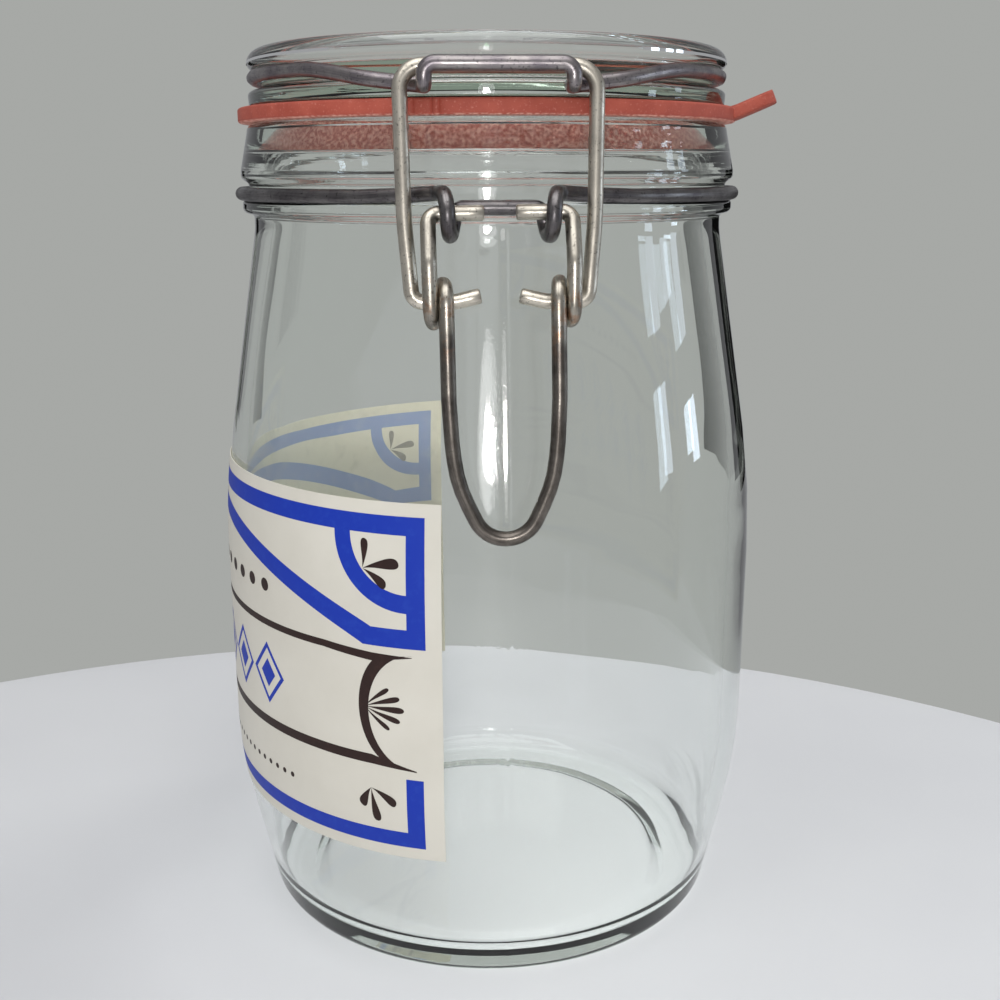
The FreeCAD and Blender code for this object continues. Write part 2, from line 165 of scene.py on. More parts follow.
def grid_faces(rows: int, cols: int, ends: Ends, wrap: bool) -> tuple[Array, Array]:
    """Corner indices of a grid's quads and of the fans at its poles.

    Args:
        rows: Number of rows of vertices.
        cols: Number of vertices in a row.
        ends: Whether the rows are open, a loop, or meet in a pole vertex at each end.
        wrap: Whether each row is a ring.

    Returns:
        An array of quads and an array of triangles.
    """
    i = np.arange(rows if ends is Ends.LOOP else rows - 1)[:, None]
    j = np.arange(cols if wrap else cols - 1)[None, :]
    up, nxt = (i + 1) % rows, (j + 1) % cols
    quads = np.stack([i * cols + j, i * cols + nxt, up * cols + nxt, up * cols + j], axis=-1).reshape(-1, 4)
    tris = NO_TRIS
    if ends is Ends.POLES:
        j, nxt = np.arange(cols), (np.arange(cols) + 1) % cols
        low, high, top = rows * cols, rows * cols + 1, (rows - 1) * cols
        tris = np.vstack([np.stack([np.full(cols, low), nxt, j], 1),
                          np.stack([np.full(cols, high), top + j, top + nxt], 1)])
    return quads, tris


def make_object(name: str, points: Array, quads: Array, tris: Array, uv: Array | None = None,
                sharp_deg: float = 42.0) -> bpy.types.Object:
    """Writes whole arrays into a new mesh object.

    Args:
        name: The piece's name.
        points: Vertex positions in millimetres.
        quads: Corner indices of the four-sided faces.
        tris: Corner indices of the triangles.
        uv: One pair per vertex, or None.
        sharp_deg: Edges that turn by more stay sharp.

    Returns:
        The object, linked to the scene at the origin.
    """
    mesh = bpy.data.meshes.new(name)
    loops = np.concatenate([quads.reshape(-1), tris.reshape(-1)]).astype(np.int32)
    sizes = np.r_[np.full(len(quads), 4), np.full(len(tris), 3)].astype(np.int32)
    mesh.vertices.add(len(points))
    mesh.vertices.foreach_set("co", (np.asarray(points) * MM).astype(np.float32).reshape(-1))
    mesh.loops.add(len(loops))
    mesh.loops.foreach_set("vertex_index", loops)
    mesh.polygons.add(len(sizes))
    mesh.polygons.foreach_set("loop_start", np.r_[0, np.cumsum(sizes)[:-1]].astype(np.int32))
    mesh.polygons.foreach_set("use_smooth", np.ones(len(sizes), bool))
    if uv is not None:
        mesh.uv_layers.new(name="UVMap").data.foreach_set("uv", uv[loops].astype(np.float32).reshape(-1))
    mesh.update(calc_edges=True)
    mesh.validate()
    mesh.set_sharp_from_angle(angle=math.radians(sharp_deg))
    obj = bpy.data.objects.new(name, mesh)
    bpy.context.scene.collection.objects.link(obj)
    return obj


def turned(name: str, corners: Corners, angles: Array,
           ripple: Callable[[Array, Array, Array], Array] | None = None,
           ring: bool = False, turn_deg: float = 6.0) -> bpy.types.Object:
    """A surface of revolution: (r*sin(a), -r*cos(a), z) for a profile of r and z and an angle a from -Y.

    Args:
        name: The piece's name.
        corners: Profile corners of radius, height and rounding, counter-clockwise as seen with r to the right.
        angles: The angles of the columns, in radians, without the repeated last one.
        ripple: Gives a change of radius for the profile's r, its z and the angle.
        ring: True for a closed profile clear of the axis, False for one from pole to pole on the axis.
        turn_deg: The largest turn between two points of a rounding.

    Returns:
        The object.
    """
    line = filleted([(r, 0, z, f) for r, z, f in corners], closed=ring, turn_deg=turn_deg)
    r, z = line[:, 0], line[:, 2]
    if not ring:
        poles = np.array([[0, 0, z[0]], [0, 0, z[-1]]])
        r, z = r[1:-1], z[1:-1]
    rr, aa = np.meshgrid(r, angles, indexing="ij")
    zz = np.broadcast_to(z[:, None], rr.shape)
    if ripple is not None:
        rr = rr + ripple(rr, zz, aa)
    pts = np.stack([rr * np.sin(aa), -rr * np.cos(aa), zz], axis=-1).reshape(-1, 3)
    quads, tris = grid_faces(len(r), len(angles), Ends.LOOP if ring else Ends.POLES, True)
    if not ring:
        pts = np.vstack([pts, poles])
    return make_object(name, pts, quads, tris)


def wire(name: str, corners: Corners, radius: float, closed: bool = False,
         around: int = 28, tilt: tuple[Array, float] | None = None) -> bpy.types.Object:
    """A round bar carried along a bent path: centre + radius*(cos(b)*e1 + sin(b)*e2).

    Args:
        name: The piece's name.
        corners: Rows of x, y, z and bend radius.
        radius: The wire's radius.
        closed: Whether the wire is a loop; otherwise its cut ends get a small chamfer.
        around: Points round the wire.
        tilt: A point and an angle in degrees, to turn the path about the Y direction.

    Returns:
        The object, with U along the wire in millimetres and V round it.
    """
    line = filleted(corners, closed, turn_deg=7.5, longest=3.0)
    if tilt is not None:
        pivot, deg = tilt
        c, s = math.cos(math.radians(deg)), math.sin(math.radians(deg))
        line = (line - pivot) @ np.array([[c, 0, -s], [0, 1, 0], [s, 0, c]]) + pivot
    scale = np.ones(len(line))
    if not closed:
        heads, tails = line[1] - line[0], line[-2] - line[-1]
        heads, tails = heads / np.linalg.norm(heads), tails / np.linalg.norm(tails)
        line = np.vstack([line[0], line[0], line[0] + heads * CHAMFER, line[1:-1],
                          line[-1] + tails * CHAMFER, line[-1], line[-1]])
        scale = np.r_[CHAMFER_SCALES, np.ones(len(line) - 4), CHAMFER_SCALES[::-1]]
    spread = line.copy()
    if not closed:
        spread[0], spread[1] = line[2] - 2 * (line[3] - line[2]), line[2] - (line[3] - line[2])
        spread[-1], spread[-2] = line[-3] + 2 * (line[-3] - line[-4]), line[-3] + (line[-3] - line[-4])
    e1, e2 = carried_frames(spread, closed)
    b = np.linspace(0, 2 * math.pi, around, endpoint=False)
    rim = (np.cos(b)[None, :, None] * e1[:, None] + np.sin(b)[None, :, None] * e2[:, None])
    pts = (line[:, None] + rim * (radius * scale)[:, None, None]).reshape(-1, 3)
    length = np.r_[0, np.cumsum(np.linalg.norm(np.diff(line, axis=0), axis=1))]
    uv = np.stack(np.broadcast_arrays(length[:, None], (b * radius)[None, :]), axis=-1).reshape(-1, 2)
    quads, tris = grid_faces(len(line), around, Ends.LOOP if closed else Ends.POLES, True)
    if not closed:
        pts = np.vstack([pts, line[0], line[-1]])
        uv = np.vstack([uv, [0, 0], [length[-1], 0]])
    return make_object(name, pts, quads, tris, uv)


def facing_out(obj: bpy.types.Object) -> bpy.types.Object:
    """Turns a closed mesh right side out where its volume comes out negative.

    Args:
        obj: A closed mesh.

    Returns:
        The same object.
    """
    mesh = obj.data
    mesh.calc_loop_triangles()
    co = np.zeros(len(mesh.vertices) * 3)
    mesh.vertices.foreach_get("co", co)
    tri = np.zeros(len(mesh.loop_triangles) * 3, int)
    mesh.loop_triangles.foreach_get("vertices", tri)
    p = co.reshape(-1, 3)[tri.reshape(-1, 3)]
    if np.einsum("ij,ij->i", p[:, 0], np.cross(p[:, 1], p[:, 2])).sum() < 0:
        mesh.flip_normals()
    return obj


# ---------------------------------------------------------------- finishes

class NodeKit:
    """Small helper round one material's node tree."""

    def __init__(self, name: str) -> None:
        """Makes an empty material with a Principled shader.

        Args:
            name: The material's name.
        """
        self.material = bpy.data.materials.new(name)
        self.material.use_nodes = True
        self.tree = self.material.node_tree
        self.shader = self.tree.nodes["Principled BSDF"]
        self.output = self.tree.nodes["Material Output"]
        self.place = self.tree.nodes.new("ShaderNodeTexCoord").outputs["Object"]

    def put(self, **values: object) -> None:
        """Sets constants on the shader's sockets; underscores stand for spaces."""
        for key, value in values.items():
            self.shader.inputs[key.replace("_", " ")].default_value = value

    def node(self, kind: str, **inputs: object) -> bpy.types.Node:
        """A new node with its inputs set or linked.

        Args:
            kind: The node's type.
            **inputs: Values or sockets by input name, underscores standing for spaces.

        Returns:
            The node.
        """
        made = self.tree.nodes.new(kind)
        for key, value in inputs.items():
            self.join(made.inputs[key.replace("_", " ")], value)
        return made

    def join(self, socket: Socket, value: object) -> None:
        """Links a socket or sets its value.

        Args:
            socket: The input.
            value: A socket to link or a constant to set.
        """
        if isinstance(value, Socket):
            self.tree.links.new(value, socket)
        else:
            socket.default_value = value

    def noise(self, scale: float, detail: float = 3.0, rough: float = 0.55,
              stretch: Triple = (1, 1, 1),
              vector: Socket | None = None) -> Socket:
        """Noise on stretched Object coordinates.

        Args:
            scale: Cells per metre.
            detail: Octaves.
            rough: Weight of the finer octaves.
            stretch: Scale of each axis.
            vector: Other coordinates to read.

        Returns:
            The noise's value socket.
        """
        mapped = self.node("ShaderNodeMapping", Vector=vector or self.place, Scale=stretch)
        return self.node("ShaderNodeTexNoise", Vector=mapped.outputs[0], Scale=scale, Detail=detail,
                         Roughness=rough).outputs[0]

    def mapped(self, value: Socket, low: float, high: float, a: float, b: float
               ) -> Socket:
        """Value from low..high carried to a..b, held at the ends.

        Args:
            value: The value that is read.
            low: Where it starts.
            high: Where it stops.
            a: The result at the start.
            b: The result at the stop.

        Returns:
            The result's socket.
        """
        made = self.node("ShaderNodeMapRange", Value=value)
        for key, number in (("From Min", low), ("From Max", high), ("To Min", a), ("To Max", b)):
            made.inputs[key].default_value = number
        return made.outputs[0]

    def mix(self, share: object, first: object, second: object) -> Socket:
        """A colour mix from the first to the second.

        Args:
            share: Share of the second, a number or a socket.
            first: A colour or a socket.
            second: A colour or a socket.

        Returns:
            The mixed colour's socket.
        """
        made = self.tree.nodes.new("ShaderNodeMix")
        made.data_type = "RGBA"
        for index, value in ((0, share), (6, first), (7, second)):
            if isinstance(value, (tuple, list)) and len(value) == 3:
                value = (*value, 1.0)
            self.join(made.inputs[index], value)
        return made.outputs[2]

    def maths(self, kind: str, *values: object) -> Socket:
        """A Math node.

        Args:
            kind: Its operation.
            *values: Numbers or sockets.

        Returns:
            The result's socket.
        """
        made = self.tree.nodes.new("ShaderNodeMath")
        made.operation = kind
        for index, value in enumerate(values):
            self.join(made.inputs[index], value)
        return made.outputs[0]

    def bump(self, height: Socket, depth_mm: float, strength: float = 1.0) -> None:
        """A bump of that depth on the shader's normal."""
        made = self.node("ShaderNodeBump", Height=height, Strength=strength, Distance=depth_mm * MM)
        self.join(self.shader.inputs["Normal"], made.outputs[0])


@dataclass(frozen=True)
class GlassFinish:
    """Clear soda glass with the faint waviness of blown or pressed ware."""
    name: str
    tint: Triple = (1.0, 1.0, 1.0)
    body: Triple = (0.62, 0.80, 0.68)
    density: float = 22.0
    wave_mm: float = 0.05
    wave_scale: float = 38.0
    reeds_above_mm: float = 143.0
    reeds_fade_mm: float = 4.0
    reed_scale: float = 30.0
    reed_share: float = 0.42
    reed_stretch: float = 22.0
    seam_x_mm: float = 1.5
    grit_scale: float = 1900.0
    grit_share: float = 0.34
    grit_beside_mm: tuple[float, float] = (2.0, 5.5)
    grit_z_mm: float = 112.0
    grit_span_mm: tuple[float, float] = (10.0, 22.0)
    grit_rest: float = 0.12

    def build(self) -> bpy.types.Material:
        """Refracting surface, green-grey body colour, shallow waves, reeds at the neck and grit by the seam.

        Returns:
            The material.
        """
        kit = NodeKit(self.name)
        kit.put(Base_Color=(*self.tint, 1), Roughness=0.0, IOR=1.5, Transmission_Weight=1.0)
        wave = kit.noise(self.wave_scale, 2.0, 0.45, (1, 1, 0.55))
        place = kit.node("ShaderNodeSeparateXYZ", Vector=kit.place).outputs
        above = kit.mapped(place[2], self.reeds_above_mm * MM, (self.reeds_above_mm + self.reeds_fade_mm) * MM,
                           0, self.reed_share)
        reeds = kit.maths("MULTIPLY", kit.noise(self.reed_scale, 2.0, 0.5, (1, 1, self.reed_stretch)), above)
        off = kit.maths("ABSOLUTE", kit.maths("SUBTRACT", place[0], self.seam_x_mm * MM))
        beside = kit.mapped(off, self.grit_beside_mm[0] * MM, self.grit_beside_mm[1] * MM, self.grit_share, 0)
        away = kit.maths("ABSOLUTE", kit.maths("SUBTRACT", place[2], self.grit_z_mm * MM))
        thick = kit.mapped(away, self.grit_span_mm[0] * MM, self.grit_span_mm[1] * MM, 1, self.grit_rest)
        grit = kit.maths("MULTIPLY", kit.noise(self.grit_scale, 1.0, 0.5), kit.maths("MULTIPLY", beside, thick))
        height = kit.maths("ADD", kit.maths("ADD", wave, reeds), grit)
        kit.bump(height, self.wave_mm)
        body = kit.node("ShaderNodeVolumeAbsorption", Color=(*self.body, 1), Density=self.density)
        kit.join(kit.output.inputs["Volume"], body.outputs[0])
        return kit.material


@dataclass(frozen=True)
class RubberFinish:
    """Matt red rubber, a little chalky, with fine pits."""
    name: str
    colour: Triple = (0.36, 0.066, 0.042)
    chalk: Triple = (0.44, 0.095, 0.062)
    # Painted light: the two reds of the underside are paler than the rubber, standing in for light that reaches
    # it through the glass.
    painted_light_seat: Triple = (0.98, 0.52, 0.42)
    painted_light_seat_dark: Triple = (0.56, 0.13, 0.09)
    seat_z_mm: float = 163.0
    seat_edge_mm: float = 0.25
    speck: Triple = (0.62, 0.24, 0.19)
    cloud_scale: float = 260.0
    speck_scale: float = 2600.0
    grain_scale: float = 1400.0
    pit_scale: float = 1500.0

    def build(self) -> bpy.types.Material:
        """Two reds in cloudy patches, speckles, fine pits, and a grainy underside painted paler as painted
        light, for the light that reaches it through the glass.

        Returns:
            The material.
        """
        kit = NodeKit(self.name)
        cloud = kit.mapped(kit.noise(self.cloud_scale, 4.0), 0.35, 0.68, 0, 1)
        speck = kit.mapped(kit.noise(self.speck_scale, 2.0), 0.60, 0.72, 0, 0.55)
        colour = kit.mix(speck, kit.mix(cloud, self.colour, self.chalk), self.speck)
        height = kit.node("ShaderNodeSeparateXYZ", Vector=kit.place).outputs[2]
        # Painted light: below the seat height the rubber gets the paler underside reds, standing in for light
        # that reaches it through the glass; the grain mixed into them is the rubber's own.
        under = kit.mapped(height, (self.seat_z_mm + self.seat_edge_mm) * MM, self.seat_z_mm * MM, 0, 1)
        grain = kit.mapped(kit.noise(self.grain_scale, 2.0), 0.42, 0.62, 0, 1)
        colour = kit.mix(under, colour, kit.mix(grain, self.painted_light_seat_dark, self.painted_light_seat))
        kit.join(kit.shader.inputs["Base Color"], colour)
        kit.join(kit.shader.inputs["Roughness"], kit.mapped(cloud, 0, 1, 0.58, 0.7))
        kit.put(Specular_IOR_Level=0.35)
        kit.bump(kit.noise(self.pit_scale, 3.0), 0.05, 0.6)
        return kit.material


@dataclass(frozen=True)
class WireFinish:
    """Drawn steel wire: dull sheen, lengthwise streaks, dark oxide and sometimes rust."""
    name: str
    light: Triple
    dark: Triple
    rough: tuple[float, float] = (0.28, 0.46)
    rust: float = 0.0
    rust_colour: Triple = (0.30, 0.13, 0.05)
    rust_below_mm: float = 140.0
    rust_full_mm: float = 4.0
    rust_reach_mm: tuple[float, float] = (16.0, 11.0)
    low_light: Triple | None = None
    low_dark: Triple | None = None
    low_below_mm: float = 130.0
    patch_scale: float = 210.0
    pit_scale: float = 1900.0

    def build(self) -> bpy.types.Material:
        """Light and dark steel in patches, streaks along the wire, pits, a darker lower part and rust if any.

        Returns:
            The material.
        """
        kit = NodeKit(self.name)
        along = kit.node("ShaderNodeUVMap").outputs[0]
        height = kit.node("ShaderNodeSeparateXYZ", Vector=kit.place).outputs[2]
        patch = kit.mapped(kit.noise(self.patch_scale, 4.0, 0.6), 0.36, 0.66, 0, 1)
        streak = kit.mapped(kit.noise(1.1, 3.0, 0.6, (0.22, 4.0, 1), along), 0.32, 0.7, 0, 1)
        share = kit.maths("MULTIPLY_ADD", streak, 0.45, kit.maths("MULTIPLY", patch, 0.55))
        colour = kit.mix(share, self.dark, self.light)
        if self.low_light is not None and self.low_dark is not None:
            uneven = kit.maths("MULTIPLY_ADD", kit.noise(300.0, 2.0), 0.012, height)
            low = kit.mapped(uneven, (self.low_below_mm + 11) * MM, (self.low_below_mm + 1) * MM, 0, 1)
            colour = kit.mix(low, colour, kit.mix(share, self.low_dark, self.low_light))
        pits = kit.mapped(kit.noise(self.pit_scale, 2.0), 0.60, 0.70, 0, 0.7)
        colour = kit.mix(pits, colour, tuple(0.35 * c for c in self.dark))
        if self.rust > 0:
            top, (gone, full) = self.rust_below_mm, self.rust_reach_mm
            low = kit.mapped(height, top * MM, (top - self.rust_full_mm) * MM, 0, 1)
            high = kit.mapped(height, (top - gone) * MM, (top - full) * MM, 0, 1)
            spot = kit.mapped(kit.noise(420.0, 4.0, 0.65), 0.50, 0.62, 0, self.rust)
            spot = kit.maths("MULTIPLY", spot, kit.maths("MULTIPLY", low, high))
            colour = kit.mix(spot, colour, self.rust_colour)
        kit.join(kit.shader.inputs["Base Color"], colour)
        kit.put(Metallic=1.0)
        kit.join(kit.shader.inputs["Roughness"], kit.mapped(share, 0, 1, self.rough[1], self.rough[0]))
        kit.bump(kit.noise(1200.0, 3.0), 0.03, 0.5)
        return kit.material


@dataclass(frozen=True)
class PaperFinish:
    """Cream paper with a soft satin coat."""
    name: str
    colour: Triple
    shade: Triple
    coat: float = 0.08
    cloud_scale: float = 70.0
    fibre_scale: float = 900.0

    def build(self) -> bpy.types.Material:
        """Two close creams in soft clouds, a fine fibre bump and a thin coat.

        Returns:
            The material.
        """
        kit = NodeKit(self.name)
        cloud = kit.mapped(kit.noise(self.cloud_scale, 4.0), 0.35, 0.7, 0, 1)
        kit.join(kit.shader.inputs["Base Color"], kit.mix(cloud, self.colour, self.shade))
        kit.put(Roughness=0.55, Coat_Weight=self.coat, Coat_Roughness=0.3)
        kit.bump(kit.noise(self.fibre_scale, 3.0), 0.02, 0.4)
        return kit.material


@dataclass(frozen=True)
class InkFinish:
    """Flat printed ink, slightly uneven; also the glued face of the paper and what shows through it."""
    name: str
    colour: Triple
    thin: Triple
    coat: float = 0.08
    patch_scale: float = 520.0

    def build(self) -> bpy.types.Material:
        """Full ink with small thin places.

        Returns:
            The material.
        """
        kit = NodeKit(self.name)
        thin = kit.mapped(kit.noise(self.patch_scale, 4.0, 0.6), 0.52, 0.74, 0, 0.6)
        kit.join(kit.shader.inputs["Base Color"], kit.mix(thin, self.colour, self.thin))
        kit.put(Roughness=0.55, Specular_IOR_Level=0.3, Coat_Weight=self.coat, Coat_Roughness=0.28)
        return kit.material


def dress(obj: bpy.types.Object, material: bpy.types.Material, body: str, slot: str,
          *nodes: str) -> bpy.types.Object:
    """Gives a piece its material and body, and hides the CAD nodes it stands for.

    Args:
        obj: The piece.
        material: Its finish.
        body: The CAD body that it rides on.
        slot: The record's material slot; not used.
        *nodes: CAD nodes that it replaces.

    Returns:
        The piece.
    """
    obj.data.materials.clear()
    obj.data.materials.append(material)
    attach(obj, body)
    if nodes:
        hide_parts(*nodes)
    count = sum(len(p.vertices) - 2 for p in obj.data.polygons)
    LOG.info("%s on %s: %d triangles", obj.name, body, count)
    return obj


# ---------------------------------------------------------------- glass

@dataclass
class Jar:
    """The blown jar: barrel body, grooved finish, thick foot."""
    body_r: float = 55.75
    foot_r: float = 48.9
    knee_low_z: float = 31.5
    knee_high_z: float = 90.0
    neck_r: float = 47.2
    neck_low_z: float = 142.8
    wall: float = 3.3
    floor_z: float = 4.4
    push_up_r: float = 40.6
    push_up: float = 1.6
    rim_z: float = 162.85
    mouth_r: float = 41.2
    bead_r: float = 49.35
    groove_r: float = 48.0
    finish_r: float = 49.45
    finish_z: float = 152.6
    ledge_r: float = 46.3
    ledge_low_z: float = 157.1
    ledge_high_z: float = 161.6
    knee_step: float = 0.5
    seam_height: float = 0.07
    seam_angle: float = 0.027
    columns: int = 200

    def outer_corners(self) -> list[Triple]:
        """Corners of the outer wall from the foot to the neck: radius, height, rounding."""
        return [(self.foot_r, 0.0, 3.8), (self.body_r, self.knee_low_z, 100.0),
                (self.body_r, self.knee_high_z, 160.0), (self.neck_r, self.neck_low_z, 14.0)]

    def corners(self) -> list[Triple]:
        """The profile from the underside's centre, up the outside and down the inside to the floor.

        Returns:
            Corners of radius, height and rounding.
        """
        under = [(0.0, self.push_up, 0.0), (self.push_up_r - 3.5, self.push_up * 0.85, 5.0),
                 (self.push_up_r, 0.0, 2.0)]
        bead, groove, body = self.bead_r, self.groove_r, self.body_r - self.wall
        finish = [(self.neck_r, 145.7, 1.0), (bead, 146.0, 1.1), (bead, 148.2, 0.9), (groove, 148.7, 0.5),
                  (groove, 151.5, 0.8), (self.finish_r, self.finish_z, 0.9), (self.finish_r, 154.0, 1.4),
                  (groove, 161.0, 2.0), (47.7, self.rim_z, 1.5)]
        inside = [(self.mouth_r, self.rim_z, 1.0), (self.mouth_r, self.ledge_high_z, 0.6),
                  (self.ledge_r, self.ledge_low_z, 0.8), (46.0, 153.0, 2.0), (44.7, 150.4, 2.0),
                  (44.4, 147.0, 4.0), (self.neck_r - self.wall, self.neck_low_z - self.knee_step, 14.0),
                  (body, self.knee_high_z + 2 * self.knee_step, 157.0),
                  (body, self.knee_low_z + self.knee_step, 97.0),
                  (self.foot_r - 1.6, self.floor_z, 5.5), (0.0, self.floor_z + 0.5, 0.0)]
        return under + self.outer_corners() + finish + inside

    def wall_radius(self, z: Array) -> Array:
        """Outer radius of the glass at heights between the foot and the neck."""
        line = filleted([(r, 0, h, f) for r, h, f in self.outer_corners()], turn_deg=1.0, longest=1.0)
        return np.interp(z, line[:, 2], line[:, 0])

    def ripple(self, r: Array, z: Array, a: Array) -> Array:
        """Blown glass: slow waves on the inside, and the mould's seam outside in front and behind.

        The waves are 0.12*sin(3a+z/19)*sin(z/23+1) + 0.07*sin(5a-z/31), faded out at the foot and the neck.
        The seam is a ridge exp(-(distance/0.45)^2) on the outer wall.

        Args:
            r: Radii of the profile.
            z: Heights.
            a: Angles from -Y.

        Returns:
            What each radius changes by.
        """
        inside = r < self.wall_radius(z) - 1.0
        fade = np.clip((z - 12) / 16, 0, 1) * np.clip((140 - z) / 20, 0, 1)
        waves = 0.12 * np.sin(3 * a + z / 19) * np.sin(z / 23 + 1) + 0.07 * np.sin(5 * a - z / 31)
        off = np.abs(np.sin(a - self.seam_angle)) * r
        seam = self.seam_height * np.exp(-(off / 0.45) ** 2) * (z > 3) * (z < 144)
        return np.where(inside, waves * fade, seam)

    def angles(self) -> Array:
        """Even columns, with close ones each side of the two seams.

        Returns:
            The angles in rising order, in radians.
        """
        even = np.linspace(0, 2 * math.pi, self.columns, endpoint=False)
        near = self.seam_angle + np.array([-1.3, -0.8, -0.4, 0.0, 0.4, 0.8, 1.3]) / self.body_r
        return np.unique(np.round(np.concatenate([even, near % (2 * math.pi), math.pi + near]), 5))

    def build(self, finish: GlassFinish) -> bpy.types.Object:
        """Makes and dresses the jar.

        Args:
            finish: The glass.

        Returns:
            The jar.
        """
        obj = turned("jar", self.corners(), self.angles(), self.ripple, turn_deg=5.0)
        obj.visible_shadow = False
        return dress(facing_out(obj), finish.build(), "jar", "jar_glass", "jar_glass")


@dataclass
class Lid:
    """The pressed lid: sunken panel, rounded bead, wire groove, flange and collar."""
    radius: float = 47.4
    under_z: float = 165.72
    top_z: float = 176.55
    panel_low_z: float = 167.8
    panel_top_z: float = 172.4
    collar_low_z: float = 160.6
    collar_in_r: float = 37.2
    collar_out_r: float = 40.4
    groove_r: float = 44.8
    columns: int = 192

    def corners(self) -> list[Triple]:
        """The profile from the underside's centre, round the outside, to the top's centre.

        Returns:
            Corners of radius, height and rounding.
        """
        r, low, groove, collar = self.radius, self.under_z, self.groove_r, self.collar_low_z
        return [(0.0, self.panel_low_z, 0.0), (self.collar_in_r - 0.6, self.panel_low_z, 2.2),
                (self.collar_in_r, collar, 1.2), (self.collar_out_r, collar, 1.2),
                (self.collar_out_r + 0.2, low, 0.0), (r - 0.2, low, 0.7), (r, 168.7, 0.9),
                (groove, 169.2, 0.7), (groove, 172.6, 0.7), (r, 172.9, 1.6), (r, self.top_z, 2.7),
                (42.3, self.top_z, 1.3), (41.9, self.panel_top_z, 0.9), (0.0, self.panel_top_z, 0.0)]

    def build(self, finish: GlassFinish) -> bpy.types.Object:
        """Makes and dresses the lid.

        Args:
            finish: The glass.

        Returns:
            The lid.
        """
        angles = np.linspace(0, 2 * math.pi, self.columns, endpoint=False)
        obj = turned("lid", self.corners(), angles, turn_deg=9.0)
        obj.visible_shadow = False
        return dress(facing_out(obj), finish.build(), "lid", "lid_glass", "lid_glass")


@dataclass
class RubberRing:
    """The flat rubber ring and its bent-up pull tab."""
    radius: float = 49.5
    inner: float = 40.8
    low: float = 162.95
    thick: float = 2.74
    tab_end: float = 57.2
    tab_width: float = 16.0
    lift_deg: float = 22.5
    bend_r: float = 8.0
    bend_start: float = 46.5
    tab_turn_deg: float = -11.0
    tab_root: float = 44.0
    tab_corner: float = 4.5
    section_power: float = 7.0
    crease_depth: float = 0.35
    crease_width: float = 0.25
    creases_deg: tuple[float, ...] = (-16.6, -12.9, -11.4)

    def build_ring(self) -> bpy.types.Object:
        """Turns the ring from its rounded section.

        Returns:
            The ring, with close columns at the mould lines.
        """
        top = self.low + self.thick
        corners = [(self.inner, self.low, 0.4), (self.radius, self.low, 0.5), (self.radius, top, 0.5),
                   (self.inner, top, 0.4)]
        even = np.linspace(0, 2 * math.pi, 180, endpoint=False)
        near = np.radians(np.array(self.creases_deg)[:, None] + np.array([-0.5, -0.25, 0.0, 0.25, 0.5]))
        angles = np.unique(np.round(np.concatenate([even, near.reshape(-1) % (2 * math.pi)]), 5))
        return facing_out(turned("rubber_ring", corners, angles, self.creases, ring=True, turn_deg=22.0))

    def creases(self, r: Array, z: Array, a: Array) -> Array:
        """Fine upright mould lines in the outer face: a groove depth*exp(-(distance/width)^2) at each angle.

        Args:
            r: Radii of the profile.
            z: Heights.
            a: Angles from -Y.

        Returns:
            What each radius changes by.
        """
        dip = np.zeros_like(r)
        for deg in self.creases_deg:
            off = (np.mod(a - math.radians(deg) + math.pi, 2 * math.pi) - math.pi) * r
            dip -= self.crease_depth * np.exp(-(off / self.crease_width) ** 2)
        return dip * (r > self.radius - 1.0)

    def build_tab(self) -> bpy.types.Object:
        """Carries a rounded bar section along the line of the bend, with the end's corners rounded.

        The section is a superellipse |y/w|^p + |h/t|^p = 1, and w falls at the end as the root of
        1 - (1 - distance/corner)^2.

        Returns:
            The tab.
        """
        lift, half = math.radians(self.lift_deg), self.thick / 2
        mid_r = self.bend_r + half
        run = (self.tab_end - self.bend_start - (self.bend_r + self.thick) * math.sin(lift)) / math.cos(lift)
        a = np.linspace(0, lift, 8)
        arc = np.stack([self.bend_start + mid_r * np.sin(a), self.low + half + mid_r * (1 - np.cos(a))], 1)
        d = run * np.r_[0.2, 0.4, 0.55, 0.68, 0.78, 0.86, 0.92, 0.96, 0.985, 1.0]
        flat = arc[-1] + d[:, None] * np.array([math.cos(lift), math.sin(lift)])
        line = np.vstack([[[self.tab_root, self.low + half]], arc, flat])
        slope = np.r_[0, a, np.full(len(d), lift)]
        corner = self.tab_corner
        left = np.r_[np.ones(len(a) + 1), np.clip((run - d) / corner, 0, 1)]
        width = self.tab_width / 2 - corner + corner * np.sqrt(1 - (1 - left) ** 2)
        thin = half * np.where(np.arange(len(line)) >= len(line) - 1, 0.82, 0.995)
        b = np.linspace(0, 2 * math.pi, 48, endpoint=False)
        power = 2 / self.section_power
        cy = np.sign(np.cos(b)) * np.abs(np.cos(b)) ** power
        ch = np.sign(np.sin(b)) * np.abs(np.sin(b)) ** power
        h = thin[:, None] * ch[None, :]
        x = line[:, 0, None] - h * np.sin(slope)[:, None]
        z = line[:, 1, None] + h * np.cos(slope)[:, None]
        y = width[:, None] * cy[None, :]
        turn = math.radians(self.tab_turn_deg)
        c, s = math.cos(turn), math.sin(turn)
        pts = np.stack([x * c - y * s, x * s + y * c, z], -1)
        ends = pts[[0, -1]].mean(axis=1)
        quads, tris = grid_faces(len(line), len(b), Ends.POLES, True)
        return facing_out(make_object("pull_tab", np.vstack([pts.reshape(-1, 3), ends]), quads, tris))

    def build(self, finish: RubberFinish) -> list[bpy.types.Object]:
        """Makes and dresses the ring and its tab.

        Args:
            finish: The rubber.

        Returns:
            The ring and the tab.
        """
        material = finish.build()
        return [dress(self.build_ring(), material, "lid", "rubber_ring", "gasket"),
                dress(self.build_tab(), material, "lid", "rubber_ring")]


# ---------------------------------------------------------------- wire closure

